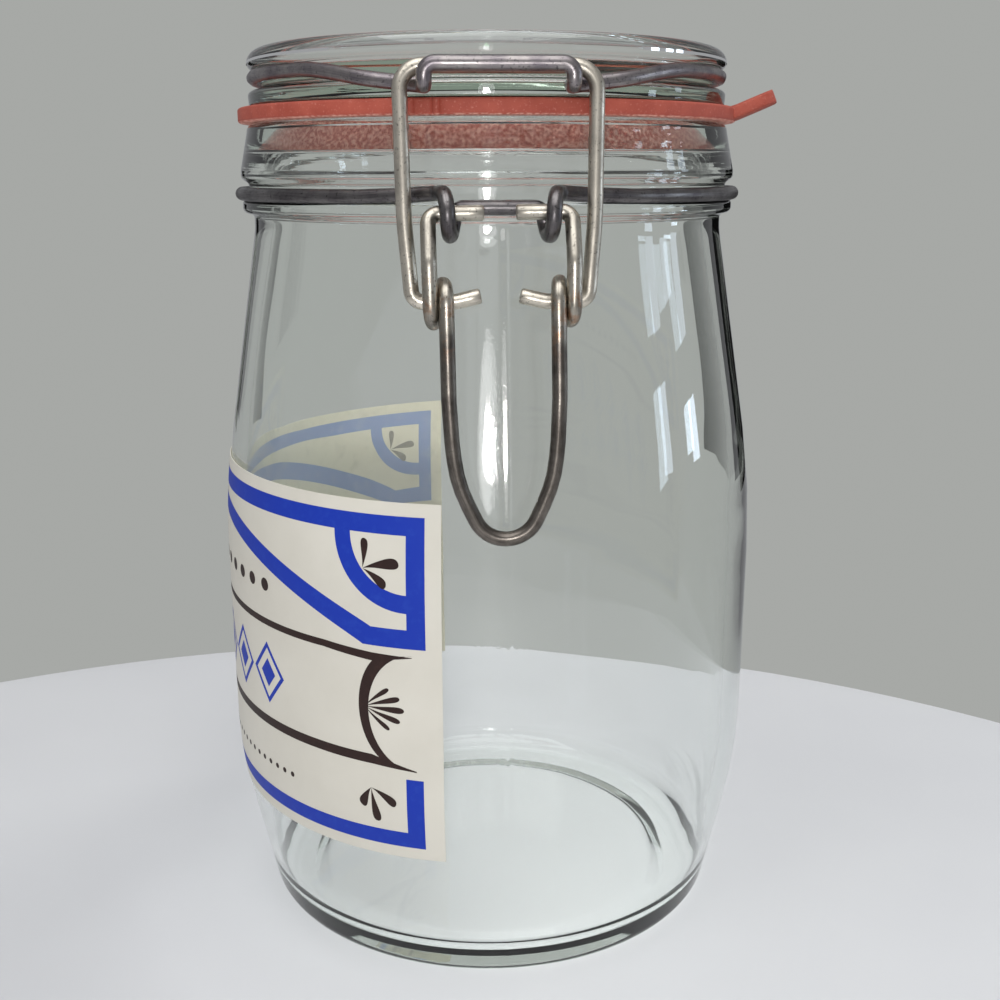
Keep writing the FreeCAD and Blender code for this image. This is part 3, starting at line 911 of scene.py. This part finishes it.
@dataclass
class Closure:
    """The toggle closure and the rear hinge, all bent from one gauge of wire."""
    wire_r: float = 1.3
    ring_step: float = 15.0
    neck_ring_r: float = 49.4
    neck_ring_z: float = 149.65
    lid_ring_r: float = 46.15
    lid_ring_z: float = 171.4
    hinge_y: float = 55.895
    hinge_z: float = 160.0
    hinge_eye_r: float = 2.9
    hinge_eye_x: float = 9.0
    hinge_post_x: float = 12.9
    soft_bend: float = 3.0
    eyelet_x: float = 8.65
    eyelet_y: float = -50.35
    eyelet_size: float = 6.8
    eyelet_top: float = 150.4
    eyelet_side: float = 1.4
    catch_x: float = 12.2
    catch_y: float = -52.3
    catch_low: float = 167.3
    catch_top: float = 170.75
    pivot_y: float = -54.0
    pivot_z: float = 147.3
    pin_y: float = -55.0
    pin_z: float = 132.9
    eye_z: float = 132.75
    eye_r: float = 3.1
    leg_x: float = 11.9
    eye_shift: float = 2.65
    handle_y: float = -59.598
    handle_low: float = 93.05
    handle_bend: float = 5.7
    handle_slope: float = 25.0
    handle_tilt: float = -0.8
    bail_x: float = 16.3
    bail_y: float = -49.4
    bail_z: float = 170.6
    bail_foot_x: float = 14.65

    def ring(self, radius: float, height: float, first: float, last: float) -> list[tuple[float, ...]]:
        """Corners round the axis whose tangent arcs make a circle.

        Args:
            radius: The circle's radius.
            height: Its height.
            first: Angle of the first corner, in degrees from -Y towards +X.
            last: Angle of the last corner.

        Returns:
            Rows of x, y, z and bend radius.
        """
        a = np.radians(np.arange(first, last + 1e-6, self.ring_step))
        reach = radius / math.cos(math.radians(self.ring_step / 2))
        return [(reach * s, -reach * c, height, WIDE) for s, c in zip(np.sin(a), np.cos(a))]

    def neck_wire(self) -> bpy.types.Object:
        """The loop in the neck groove, with two eyelets in front and the hinge bar behind.

        Returns:
            The wire.
        """
        front, low = self.eyelet_y - self.eyelet_size, self.eyelet_top - self.eyelet_size
        bend, side, x = self.eyelet_size / 2, self.eyelet_side, self.eyelet_x
        half = [(x - side, -50.95, 148.0, 1.7), (x - 0.5 * side, self.eyelet_y, low, 2.2),
                (x - 0.1 * side, front, low, bend), (x + 0.1 * side, front, self.eyelet_top, bend),
                (x + side, self.eyelet_y + 0.3, self.eyelet_top, 2.4)]
        half += self.ring(self.neck_ring_r, self.neck_ring_z, 22.5, 157.5)
        post, soft = self.hinge_post_x, self.soft_bend
        half += [(post, 49.6, self.neck_ring_z, soft), (post, self.hinge_y, 152.4, soft),
                 (post, self.hinge_y, self.hinge_z, soft)]
        return wire("neck_loop", half + mirrored(half), self.wire_r, closed=True)

    def lid_wire(self) -> bpy.types.Object:
        """The catch, the ring in the lid's groove and the two hinge eyes.

        Returns:
            The wire.
        """
        e, x, y, z = self.hinge_eye_r, self.hinge_eye_x, self.hinge_y, self.hinge_z
        half = [(self.catch_x, self.catch_y, self.catch_top, 1.9),
                (self.catch_x, self.catch_y + 0.3, self.catch_low, 1.45),
                (self.catch_x, -47.4, self.catch_low + 0.3, 1.9), (22.2, -44.0, 168.9, 12.0),
                (30.9, -36.6, 170.9, WIDE)]
        half += self.ring(self.lid_ring_r, self.lid_ring_z, 52.5, 157.5)
        half += [(11.2, 47.6, 170.9, self.soft_bend), (x, y + e, 168.0, self.soft_bend), (x, y + e, z - e, e),
                 (x, y - e, z - e, e), (x, y - e, z + e, e), (x, y + 0.4, z + e, 0.0)]
        return wire("lid_loop", mirrored(half) + half, self.wire_r)

    def lever(self) -> bpy.types.Object:
        """Pivot ends, legs, one full turn each side for the bail, and the U handle.

        Returns:
            The wire.
        """
        front, back = self.pin_y - self.eye_r, self.pin_y + self.eye_r
        low, high = self.eye_z - self.eye_r, self.eye_z + self.eye_r
        handle_x, slope = self.leg_x - self.eye_shift, math.radians(self.handle_slope)
        corner_z = self.handle_low + self.handle_bend - self.handle_bend / math.sin(slope)
        half = [(2.65, self.pivot_y, self.pivot_z, 0.0), (self.leg_x, self.pivot_y, self.pivot_z, 1.9),
                (self.leg_x, front, 139.6, 3.5), (self.leg_x - 0.1, front, low, self.eye_r),
                (self.leg_x - 0.4 * self.eye_shift, back, low, self.eye_r),
                (self.leg_x - 0.7 * self.eye_shift, back, high, self.eye_r),
                (handle_x, front, high, self.eye_r), (handle_x, self.handle_y, 113.5, 60.0),
                (8.2, self.handle_y, corner_z + 8.2 / math.tan(slope), 25.0)]
        bottom = [(0.0, self.handle_y, corner_z, self.handle_bend)]
        pivot = np.array([0.0, self.pivot_y, self.pivot_z])
        return wire("lever_handle", half + bottom + mirrored(half), self.wire_r,
                    tilt=(pivot, self.handle_tilt))

    def bail_side_y(self, z: float) -> float:
        """Depth of the bail's straight side at a height."""
        share = (z - self.pin_z) / (self.bail_z - self.pin_z)
        return self.pin_y + share * (self.bail_y - self.pin_y)

    def bail(self) -> bpy.types.Object:
        """The bar that hooks behind the catch, its sides, and the pins in the lever's eyes.

        Returns:
            The wire.
        """
        half = [(self.bail_x, self.bail_y, self.bail_z, 3.9), (15.8, self.bail_side_y(146.0), 146.0, 40.0),
                (self.bail_foot_x, self.pin_y, self.pin_z, 2.0), (7.4, self.pin_y, self.pin_z, 5.0),
                (3.3, self.bail_side_y(self.pin_z + 0.95), self.pin_z + 0.95, 0.0)]
        return wire("bail_loop", mirrored(half) + half, self.wire_r)

    def build(self, ring_finish: WireFinish, lid_finish: WireFinish, lever_finish: WireFinish,
              bail_finish: WireFinish) -> list[bpy.types.Object]:
        """Makes and dresses the four wires.

        Args:
            ring_finish: Steel of the neck wire.
            lid_finish: Steel of the lid wire.
            lever_finish: Steel of the lever.
            bail_finish: Steel of the bail.

        Returns:
            The four wires.
        """
        return [dress(facing_out(self.neck_wire()), ring_finish.build(), "jar", "neck_wire", "neck_wire"),
                dress(facing_out(self.lid_wire()), lid_finish.build(), "lid", "lid_wire", "lid_wire"),
                dress(facing_out(self.lever()), lever_finish.build(), "lever", "lever_wire", "lever"),
                dress(facing_out(self.bail()), bail_finish.build(), "bail", "bail_wire", "bail")]


# ---------------------------------------------------------------- paper label

Edge = Callable[[Array], tuple[Array, Array]]


def straight(*points: tuple[float, float]) -> Edge:
    """An edge along straight runs, walked at an even pace from 0 to 1.

    Args:
        *points: Label positions, along and up.

    Returns:
        A function of the parameter that gives the two coordinates.
    """
    p = np.array(points, float)
    knots = np.linspace(0, 1, len(p))
    return lambda u: (np.interp(u, knots, p[:, 0]), np.interp(u, knots, p[:, 1]))


def round_edge(centre: tuple[float, float], radius: float, start: float, stop: float,
               squash: float = 1.0) -> Edge:
    """An edge along part of a circle or ellipse: centre + radius*(cos(a), squash*sin(a)).

    Args:
        centre: The centre on the label.
        radius: Radius along the label.
        start: First angle in degrees.
        stop: Last angle.
        squash: Height over width.

    Returns:
        A function of the parameter that gives the two coordinates.
    """
    def edge(u: Array) -> tuple[Array, Array]:
        """The point at the parameter u."""
        a = np.radians(start + (stop - start) * u)
        return centre[0] + radius * np.cos(a), centre[1] + squash * radius * np.sin(a)
    return edge


def petal(root: tuple[float, float], length: float, angle: float, width: float, curl: float = 0.0
          ) -> tuple[Edge, Edge]:
    """A teardrop from a pointed root to a round tip.

    Its middle line is root + length*u along the angle, bent sideways by curl*sin(pi*u/2)*u, and its half
    width is width*u^1.2*sqrt(1 - u^6).

    Args:
        root: The pointed end.
        length: Length along the middle line.
        angle: Direction in degrees from the label's right-to-left axis.
        width: Greatest half width.
        curl: Sideways bend at the tip.

    Returns:
        The two edges.
    """
    c, s = math.cos(math.radians(angle)), math.sin(math.radians(angle))

    def side(sign: float) -> Edge:
        """One edge of the teardrop."""
        def edge(u: Array) -> tuple[Array, Array]:
            """The point at the parameter u."""
            along = length * u
            across = curl * np.sin(np.pi * u / 2) * u + sign * width * u ** 1.2 * np.sqrt(1 - u ** 6)
            return root[0] + along * c - across * s, root[1] + along * s + across * c
        return edge
    return side(1.0), side(-1.0)


@dataclass
class Label:
    """The paper band and its printed ornament, wrapped on the jar's wall.

    Label positions are millimetres along from the edge by the closure, and millimetres up from the lower edge.
    """
    jar: Jar
    low_z: float = 28.2
    height: float = 69.4
    first_deg: float = 10.9
    sweep_deg: float = 158.2
    paper_in: float = 0.05
    paper_out: float = 0.19
    ink: float = 0.205
    skin: float = 0.046
    ghost: float = 0.034
    over_blue: float = 0.008
    under_blue: float = 0.006
    rows: int = 161
    cols: int = 41
    top_t: float = 67.0
    bottom_t: float = 2.4
    stroke: float = 3.4
    chain_t: float = 30.6
    chain_pitch: float = 12.0
    chain_margin: float = 38.5
    lozenge_slope: float = 1.15

    @property
    def length(self) -> float:
        """Length of the label along the glass."""
        return math.radians(self.sweep_deg) * (self.jar.body_r + self.paper_out)

    def wrap(self, s: Array, t: Array, lift: float) -> Array:
        """Label positions carried onto the wall: angle first + s/R from -Y towards -X, radius r(z) + lift.

        Args:
            s: Distance along the label.
            t: Distance up.
            lift: Height over the glass.

        Returns:
            The points.
        """
        a = math.radians(self.first_deg) + s / (self.jar.body_r + self.paper_out)
        z = self.low_z + t
        r = self.jar.wall_radius(z) + lift
        return np.stack([-r * np.sin(a), -r * np.cos(a), z], axis=-1)

    def patch(self, name: str, pairs: Sequence[tuple[Edge, Edge]], lift: float) -> bpy.types.Object:
        """Ruled patches between pairs of edges, (1-v)*A(u) + v*B(u), wrapped onto the wall as one mesh.

        Args:
            name: The piece's name.
            pairs: The two edges of each patch.
            lift: Height over the glass.

        Returns:
            The object.
        """
        rows, cols = 61, 7
        u, v = np.meshgrid(np.linspace(0, 1, rows), np.linspace(0, 1, cols), indexing="ij")
        quads, _ = grid_faces(rows, cols, Ends.OPEN, False)
        points, faces = [], []
        for first, second in pairs:
            (s0, t0), (s1, t1) = first(u), second(u)
            s, t = s0 + (s1 - s0) * v, t0 + (t1 - t0) * v
            block = self.wrap(s, t, lift)
            (su, sv), (tu, tv) = np.gradient(s), np.gradient(t)
            flip = (su * tv - sv * tu).sum() > 0
            outward = lift > self.paper_in
            faces.append((quads[:, ::-1] if flip == outward else quads) + len(points) * rows * cols)
            points.append(block.reshape(-1, 3))
        return make_object(name, np.vstack(points), np.vstack(faces), NO_TRIS, sharp_deg=60)

    def both_ends(self, pairs: Sequence[tuple[Edge, Edge]]) -> list[tuple[Edge, Edge]]:
        """The patches, and their mirror images at the label's other end.

        Args:
            pairs: The two edges of each patch.

        Returns:
            Twice as many pairs.
        """
        def flipped(edge: Edge) -> Edge:
            """The edge mirrored along the label."""
            return lambda u: (self.length - edge(u)[0], edge(u)[1])
        return list(pairs) + [(flipped(a), flipped(b)) for a, b in pairs]

    def sheet(self, lift: float) -> tuple[Array, Array]:
        """The whole sheet at a height over the glass.

        Args:
            lift: Height over the glass.

        Returns:
            Its points, and its quads, which face the jar's axis.
        """
        s, t = np.meshgrid(np.linspace(0, self.length, self.rows), np.linspace(0, self.height, self.cols),
                           indexing="ij")
        return self.wrap(s, t, lift).reshape(-1, 3), grid_faces(self.rows, self.cols, Ends.OPEN, False)[0]

    def paper(self) -> bpy.types.Object:
        """The sheet: outer and inner faces and the four narrow edges, closed.

        Returns:
            The sheet.
        """
        rows, cols = self.rows, self.cols
        outer, faces = self.sheet(self.paper_out)
        inner, _ = self.sheet(self.paper_in)
        n = rows * cols
        rim = np.concatenate([np.arange(cols - 1), np.arange(rows - 1) * cols + cols - 1,
                              n - 1 - np.arange(cols - 1), n - cols - np.arange(rows - 1) * cols])
        nxt = np.roll(rim, -1)
        quads = np.vstack([faces, faces[:, ::-1] + n, np.stack([rim, nxt, nxt + n, rim + n], 1)])
        return facing_out(make_object("paper_band", np.vstack([outer, inner]), quads, NO_TRIS, sharp_deg=30))

    def back_skin(self) -> bpy.types.Object:
        """The glued face of the paper, as the glass shows it from inside."""
        pts, faces = self.sheet(self.skin)
        return make_object("glued_face", pts, faces, NO_TRIS, sharp_deg=60)

    def blue_shapes(self) -> list[tuple[Edge, Edge]]:
        """Border, corner arcs, arched band and the lozenge chain in the middle field.

        Returns:
            The two edges of each patch.
        """
        top, low, mid, under = self.top_t, self.bottom_t, self.length / 2, self.top_t - self.stroke
        ends = [
            (straight((3.0, top), (3.0, 42.6)), straight((6.5, under), (6.5, 46.2))),
            (straight((3.0, top), (mid, top)), straight((6.5, under), (mid, under))),
            (straight((3.0, 42.6), (15.3, 42.6)), straight((6.5, 46.2), (13.6, 46.2))),
            (self.arch(15.3, 42.6, 58.9), self.arch(13.6, 46.2, 62.4)),
            (round_edge((6.4, 63.9), 11.2, 0, -90), round_edge((6.4, 63.9), 11.2 + self.stroke, 0, -90)),
            (straight((3.8, 16.8), (3.8, low)), straight((7.2, 16.8), (7.2, low + 3.2))),
            (straight((3.8, low), (mid, low)), straight((7.2, low + 3.2), (mid, low + 3.2))),
        ]
        return self.both_ends(ends) + self.lozenges()

    def arch(self, s0: float, t0: float, crown: float) -> Edge:
        """Half of the arched band's edge: t rises from the knee to the crown as sin of the share along.

        Args:
            s0: Place of the knee along the label.
            t0: Height of the knee.
            crown: Height in the label's middle.

        Returns:
            The edge.
        """
        mid = self.length / 2

        def edge(u: Array) -> tuple[Array, Array]:
            """The point at the parameter u."""
            share = u ** 1.25
            return s0 + (mid - s0) * share, t0 + (crown - t0) * np.sin(np.pi / 2 * share) ** 0.92
        return edge

    def lozenges(self) -> list[tuple[Edge, Edge]]:
        """A row of outlined lozenges with small ones inside, along the middle field.

        Returns:
            The outer and the inner edge of each.
        """
        count = int((self.length - 2 * self.chain_margin) / self.chain_pitch) + 1
        start = self.length / 2 - (count - 1) * self.chain_pitch / 2
        middles = [start + k * self.chain_pitch for k in range(count)]
        return [(self.lozenge(c, big), self.lozenge(c, small))
                for c in middles for big, small in ((5.6, 4.5), (2.6, 0.0))]

    def lozenge(self, c: float, half: float) -> Edge:
        """The edge of a lozenge.

        Args:
            c: Its middle along the label.
            half: Half its width.

        Returns:
            The edge, all the way round.
        """
        t, rise = self.chain_t, self.lozenge_slope * half
        return straight((c - half, t), (c, t + rise), (c + half, t), (c, t - rise), (c - half, t))

    def brown_shapes(self) -> list[tuple[Edge, Edge]]:
        """Two long rules, the curved ends of the middle field, sprigs of teardrops and a spray of leaves.

        Returns:
            The two edges of each patch.
        """
        mid = self.length / 2
        pairs: list[tuple[Edge, Edge]] = [
            (straight((5.6, 41.0), (13.5, 41.2), (24.0, 41.9), (mid, 42.1)),
             straight((5.6, 40.9), (13.5, 39.6), (24.0, 40.5), (mid, 40.7))),
            (straight((5.1, 18.6), (14.0, 20.9), (26.0, 21.1), (mid, 21.3)),
             straight((5.1, 18.4), (14.0, 19.0), (26.0, 19.2), (mid, 19.4))),
            (round_edge((5.4, 29.9), 9.1, 90, -90, 1.25), round_edge((8.6, 30.5), 7.9, 62, -62, 1.46)),
        ]
        for root, petals in (
            ((15.0, 57.0), ((5.5, 104, 1.15, -0.9), (7.2, 158, 1.6, 1.2), (5.4, 200, 1.4, 1.2))),
            ((14.4, 14.0), ((4.4, -50, 1.45, -0.9), (5.7, 198, 1.35, 1.1), (6.9, -96, 1.3, -0.5))),
            ((15.2, 30.4), ((7.9, 180, 0.95, 0.0), (7.4, 156, 0.85, 0.7), (7.4, 204, 0.85, -0.7),
                            (6.3, 131, 0.7, 1.0), (6.3, 229, 0.7, -1.0))),
        ):
            pairs += [petal(root, length, angle, width, curl) for length, angle, width, curl in petals]
        return self.both_ends(pairs) + self.dots(48.9, 1.3, 5.2, 39.0) + self.dots(11.2, 0.55, 2.6, 34.0)

    def dots(self, t: float, radius: float, pitch: float, margin: float) -> list[tuple[Edge, Edge]]:
        """A plain row of round dots along the label.

        Args:
            t: Height of the row.
            radius: Radius of a dot.
            pitch: Distance from dot to dot.
            margin: Bare length at each end.

        Returns:
            One pair of half circles per dot.
        """
        count = int((self.length - 2 * margin) / pitch) + 1
        first = (self.length - (count - 1) * pitch) / 2
        middles = [(first + k * pitch, t) for k in range(count)]
        return [(round_edge(c, radius, 90, 270), round_edge(c, radius, 90, -90)) for c in middles]

    def build(self, paper: PaperFinish, blue: InkFinish, brown: InkFinish, back: InkFinish,
              blue_back: InkFinish, brown_back: InkFinish) -> list[bpy.types.Object]:
        """Makes and dresses the paper, its print and the print that shows through on the back.

        Args:
            paper: The paper.
            blue: Blue ink.
            brown: Brown ink.
            back: The glued face.
            blue_back: Blue ink as it shows through.
            brown_back: Brown ink as it shows through.

        Returns:
            The pieces.
        """
        def stuck(obj: bpy.types.Object, finish: PaperFinish | InkFinish, *nodes: str) -> bpy.types.Object:
            """Dresses one layer of the label."""
            return dress(obj, finish.build(), "jar", "label_paper", *nodes)
        return [stuck(self.paper(), paper, "label"),
                stuck(self.patch("blue_print", self.blue_shapes(), self.ink), blue),
                stuck(self.patch("brown_print", self.brown_shapes(), self.ink + self.over_blue), brown),
                stuck(self.back_skin(), back),
                stuck(self.patch("blue_show_through", self.blue_shapes(), self.ghost), blue_back),
                stuck(self.patch("brown_show_through", self.brown_shapes(), self.ghost - self.under_blue),
                      brown_back)]


# ---------------------------------------------------------------- studio

@dataclass
class Studio:
    """Pale round table, pale grey surroundings, soft lamps and the camera."""
    table_r: float = 270.0
    table_x: float = -33.0
    table_y: float = -136.0
    table_top: float = -0.06
    table_low: float = -14.0
    table_colours: tuple[Triple, Triple] = ((0.58, 0.585, 0.60), (0.62, 0.625, 0.635))
    seen: Triple = (0.385, 0.395, 0.38)
    lit: Triple = (0.95, 0.97, 1.0)
    lit_strength: float = 0.34
    window_x: float = 630.0
    window_width: float = 52.0
    window_watts: float = 0.085
    window_target: tuple[float, float] = (37.0, -38.0)
    window_colour: Triple = (0.72, 0.85, 1.0)
    windows: tuple[Triple, ...] = ((-142, 250, 120), (-150, 110, 90), (-40, 262, 130), (40, 235, 150),
                                   (48, 90, 60))
    eye: Triple = (-10.18, -264.93, 154.15)
    yaw_deg: float = 2.734
    pitch_deg: float = 14.768
    roll_deg: float = -0.111
    lens: float = 45.14

    def table(self) -> bpy.types.Object:
        """A disc with a rounded edge, turned about its own axis.

        Returns:
            The table.
        """
        a = np.linspace(0, 2 * math.pi, 128, endpoint=False)
        top, low = self.table_top, self.table_low
        line = filleted([(0, 0, top, 0), (self.table_r, 0, top, 3.0), (self.table_r, 0, low, 0)], turn_deg=10)
        r, z = np.meshgrid(line[1:, 0], a, indexing="ij")[0], line[1:, 2]
        pts = np.stack([self.table_x + r * np.sin(a), self.table_y - r * np.cos(a),
                        np.broadcast_to(z[:, None], r.shape)], -1).reshape(-1, 3)
        quads, tris = grid_faces(len(z), len(a), Ends.POLES, True)
        pts = np.vstack([pts, [self.table_x, self.table_y, top], [self.table_x, self.table_y, low]])
        obj = facing_out(make_object("table", pts, quads, tris))
        kit = NodeKit("pale_table")
        grain = kit.mapped(kit.noise(9.0, 3.0), 0.3, 0.7, 0, 1)
        kit.join(kit.shader.inputs["Base Color"], kit.mix(grain, *self.table_colours))
        kit.put(Roughness=0.55)
        obj.data.materials.append(kit.material)
        return obj

    def world(self) -> None:
        """Plain grey surroundings; what the eye and the glass see is a little darker than what lights."""
        world = bpy.data.worlds.new("surroundings")
        bpy.context.scene.world = world
        world.use_nodes = True
        tree = world.node_tree
        tree.nodes.clear()
        out = tree.nodes.new("ShaderNodeOutputWorld")
        path = tree.nodes.new("ShaderNodeLightPath")
        seen, lit = tree.nodes.new("ShaderNodeBackground"), tree.nodes.new("ShaderNodeBackground")
        seen.inputs[0].default_value = (*self.seen, 1)
        lit.inputs[0].default_value = (*self.lit, 1)
        lit.inputs[1].default_value = self.lit_strength
        either = tree.nodes.new("ShaderNodeMath")
        either.operation = "MAXIMUM"
        tree.links.new(path.outputs["Is Camera Ray"], either.inputs[0])
        tree.links.new(path.outputs["Is Transmission Ray"], either.inputs[1])
        mix = tree.nodes.new("ShaderNodeMixShader")
        tree.links.new(either.outputs[0], mix.inputs[0])
        tree.links.new(lit.outputs[0], mix.inputs[1])
        tree.links.new(seen.outputs[0], mix.inputs[2])
        tree.links.new(mix.outputs[0], out.inputs[0])

    def lamp(self, name: str, at: Triple, size: tuple[float, float], watts: float,
             target: Triple = (0, 0, 90),
             colour: Triple = (1, 1, 1), reflected: bool = True,
             oval: bool = False) -> bpy.types.Object:
        """A rectangular or oval area lamp that faces a target.

        Args:
            name: The lamp's name.
            at: Position in millimetres.
            size: Width and height in millimetres.
            watts: Power.
            target: What it faces.
            colour: Light colour.
            reflected: Whether glass and metal show it.
            oval: Whether it is an ellipse.

        Returns:
            The lamp.
        """
        data = bpy.data.lights.new(name, "AREA")
        data.shape = "ELLIPSE" if oval else "RECTANGLE"
        data.size, data.size_y = size[0] * MM, size[1] * MM
        data.energy = watts
        data.color = colour
        lamp = bpy.data.objects.new(name, data)
        lamp.visible_glossy = lamp.visible_transmission = reflected
        bpy.context.scene.collection.objects.link(lamp)
        back = np.array(at, float) - np.array(target, float)
        back /= np.linalg.norm(back)
        right = np.cross([0, 0, 1.0], back)
        right /= np.linalg.norm(right)
        up = np.cross(back, right)
        lamp.matrix_world = Matrix([[right[i], up[i], back[i], at[i] * MM] for i in range(3)] + [[0, 0, 0, 1]])
        return lamp

    def dark_card(self, name: str, far: tuple[float, float], near: tuple[float, float],
                  heights: tuple[float, float]) -> bpy.types.Object:
        """A dark upright card out of sight at one side, which the glass's edges show.

        Args:
            name: The card's name.
            far: Place of its far edge.
            near: Place of its near edge.
            heights: Its lower and upper edge.

        Returns:
            The card.
        """
        low, high = heights
        pts = np.array([(*far, low), (*near, low), (*near, high), (*far, high)], float)
        obj = make_object(name, pts, np.array([[0, 1, 2, 3]]), NO_TRIS)
        kit = NodeKit(name)
        kit.put(Base_Color=(0.01, 0.01, 0.01, 1), Roughness=1.0, Specular_IOR_Level=0.0)
        obj.data.materials.append(kit.material)
        obj.visible_camera = obj.visible_diffuse = obj.visible_shadow = False
        return obj

    def camera(self) -> None:
        """The camera, from its position, turn, tilt and lens."""
        yaw, pitch, roll = (math.radians(v) for v in (self.yaw_deg, self.pitch_deg, self.roll_deg))
        ahead = np.array([math.sin(yaw) * math.cos(pitch), math.cos(yaw) * math.cos(pitch), -math.sin(pitch)])
        right = np.array([math.cos(yaw), -math.sin(yaw), 0.0])
        up = np.cross(right, ahead)
        c, s = math.cos(roll), math.sin(roll)
        right, up = c * right + s * up, c * up - s * right
        data = bpy.data.cameras.new("camera")
        data.lens, data.sensor_width = self.lens, 36.0
        data.clip_start, data.clip_end = 0.01, 20.0
        camera = bpy.data.objects.new("camera", data)
        bpy.context.scene.collection.objects.link(camera)
        camera.matrix_world = Matrix([[right[i], up[i], -ahead[i], self.eye[i] * MM] for i in range(3)]
                                     + [[0, 0, 0, 1]])
        bpy.context.scene.camera = camera

    def build(self) -> None:
        """Sets the table, surroundings, lamps and camera."""
        self.table()
        self.world()
        self.lamp("soft_top", (-60, -300, 900), (900, 900), 6.0)
        self.lamp("soft_left", (-700, -450, 420), (500, 600), 0.9, reflected=False)
        self.lamp("soft_back_right", (600, 420, 620), (500, 500), 3.0, reflected=False)
        for k, (across, up, tall) in enumerate(self.windows):   # the panes of a window far to the right
            self.lamp(f"window_{k}", (self.window_x, across, up), (self.window_width, tall), self.window_watts,
                      (*self.window_target, up), self.window_colour)
        self.lamp("front_spark", (-14, -324, 131), (18, 40), 0.22, oval=True)
        self.lamp("front_halo", (-14, -326, 135), (40, 96), 0.035, oval=True)
        # Dark cards out of sight draw the dark streaks at the glass's sides.
        self.dark_card("dark_left", (-188, 372), (-232, 340), (40, 160))
        self.dark_card("dark_right", (185, 372), (300, 280), (10, 170))
        self.camera()
        bpy.context.scene.view_settings.view_transform = "Standard"


def main() -> None:
    """Builds the jar's sub-assemblies in order and the studio round them."""
    jar = Jar()
    jar.build(GlassFinish("jar_glass"))
    Lid().build(GlassFinish("lid_glass", body=(0.66, 0.76, 0.67), wave_mm=0.03))
    RubberRing().build(RubberFinish("ring_rubber"))
    Closure().build(
        WireFinish("neck_steel", (0.22, 0.208, 0.205), (0.064, 0.056, 0.062)),
        WireFinish("lid_steel", (0.40, 0.37, 0.35), (0.13, 0.11, 0.135)),
        WireFinish("lever_wire", (0.62, 0.58, 0.50), (0.30, 0.275, 0.235), rough=(0.28, 0.42), rust=0.5,
                   rust_below_mm=139.0, low_light=(0.235, 0.21, 0.185), low_dark=(0.052, 0.044, 0.039)),
        WireFinish("bail_wire", (0.76, 0.70, 0.60), (0.38, 0.35, 0.30), rough=(0.30, 0.44)))
    Label(jar).build(
        PaperFinish("cream_paper", (0.67, 0.64, 0.565), (0.63, 0.60, 0.525)),
        InkFinish("blue_ink", (0.004, 0.032, 0.38), (0.012, 0.055, 0.42), coat=0.04),
        InkFinish("brown_ink", (0.022, 0.008, 0.006), (0.045, 0.018, 0.014)),
        InkFinish("glued_back", (0.56, 0.52, 0.40), (0.42, 0.39, 0.29), coat=0.0, patch_scale=330.0),
        InkFinish("blue_back", (0.21, 0.255, 0.38), (0.30, 0.33, 0.38), coat=0.0, patch_scale=330.0),
        InkFinish("brown_back", (0.22, 0.20, 0.16), (0.34, 0.32, 0.26), coat=0.0, patch_scale=330.0))
    Studio().build()


if __name__ == "__main__":
    main()
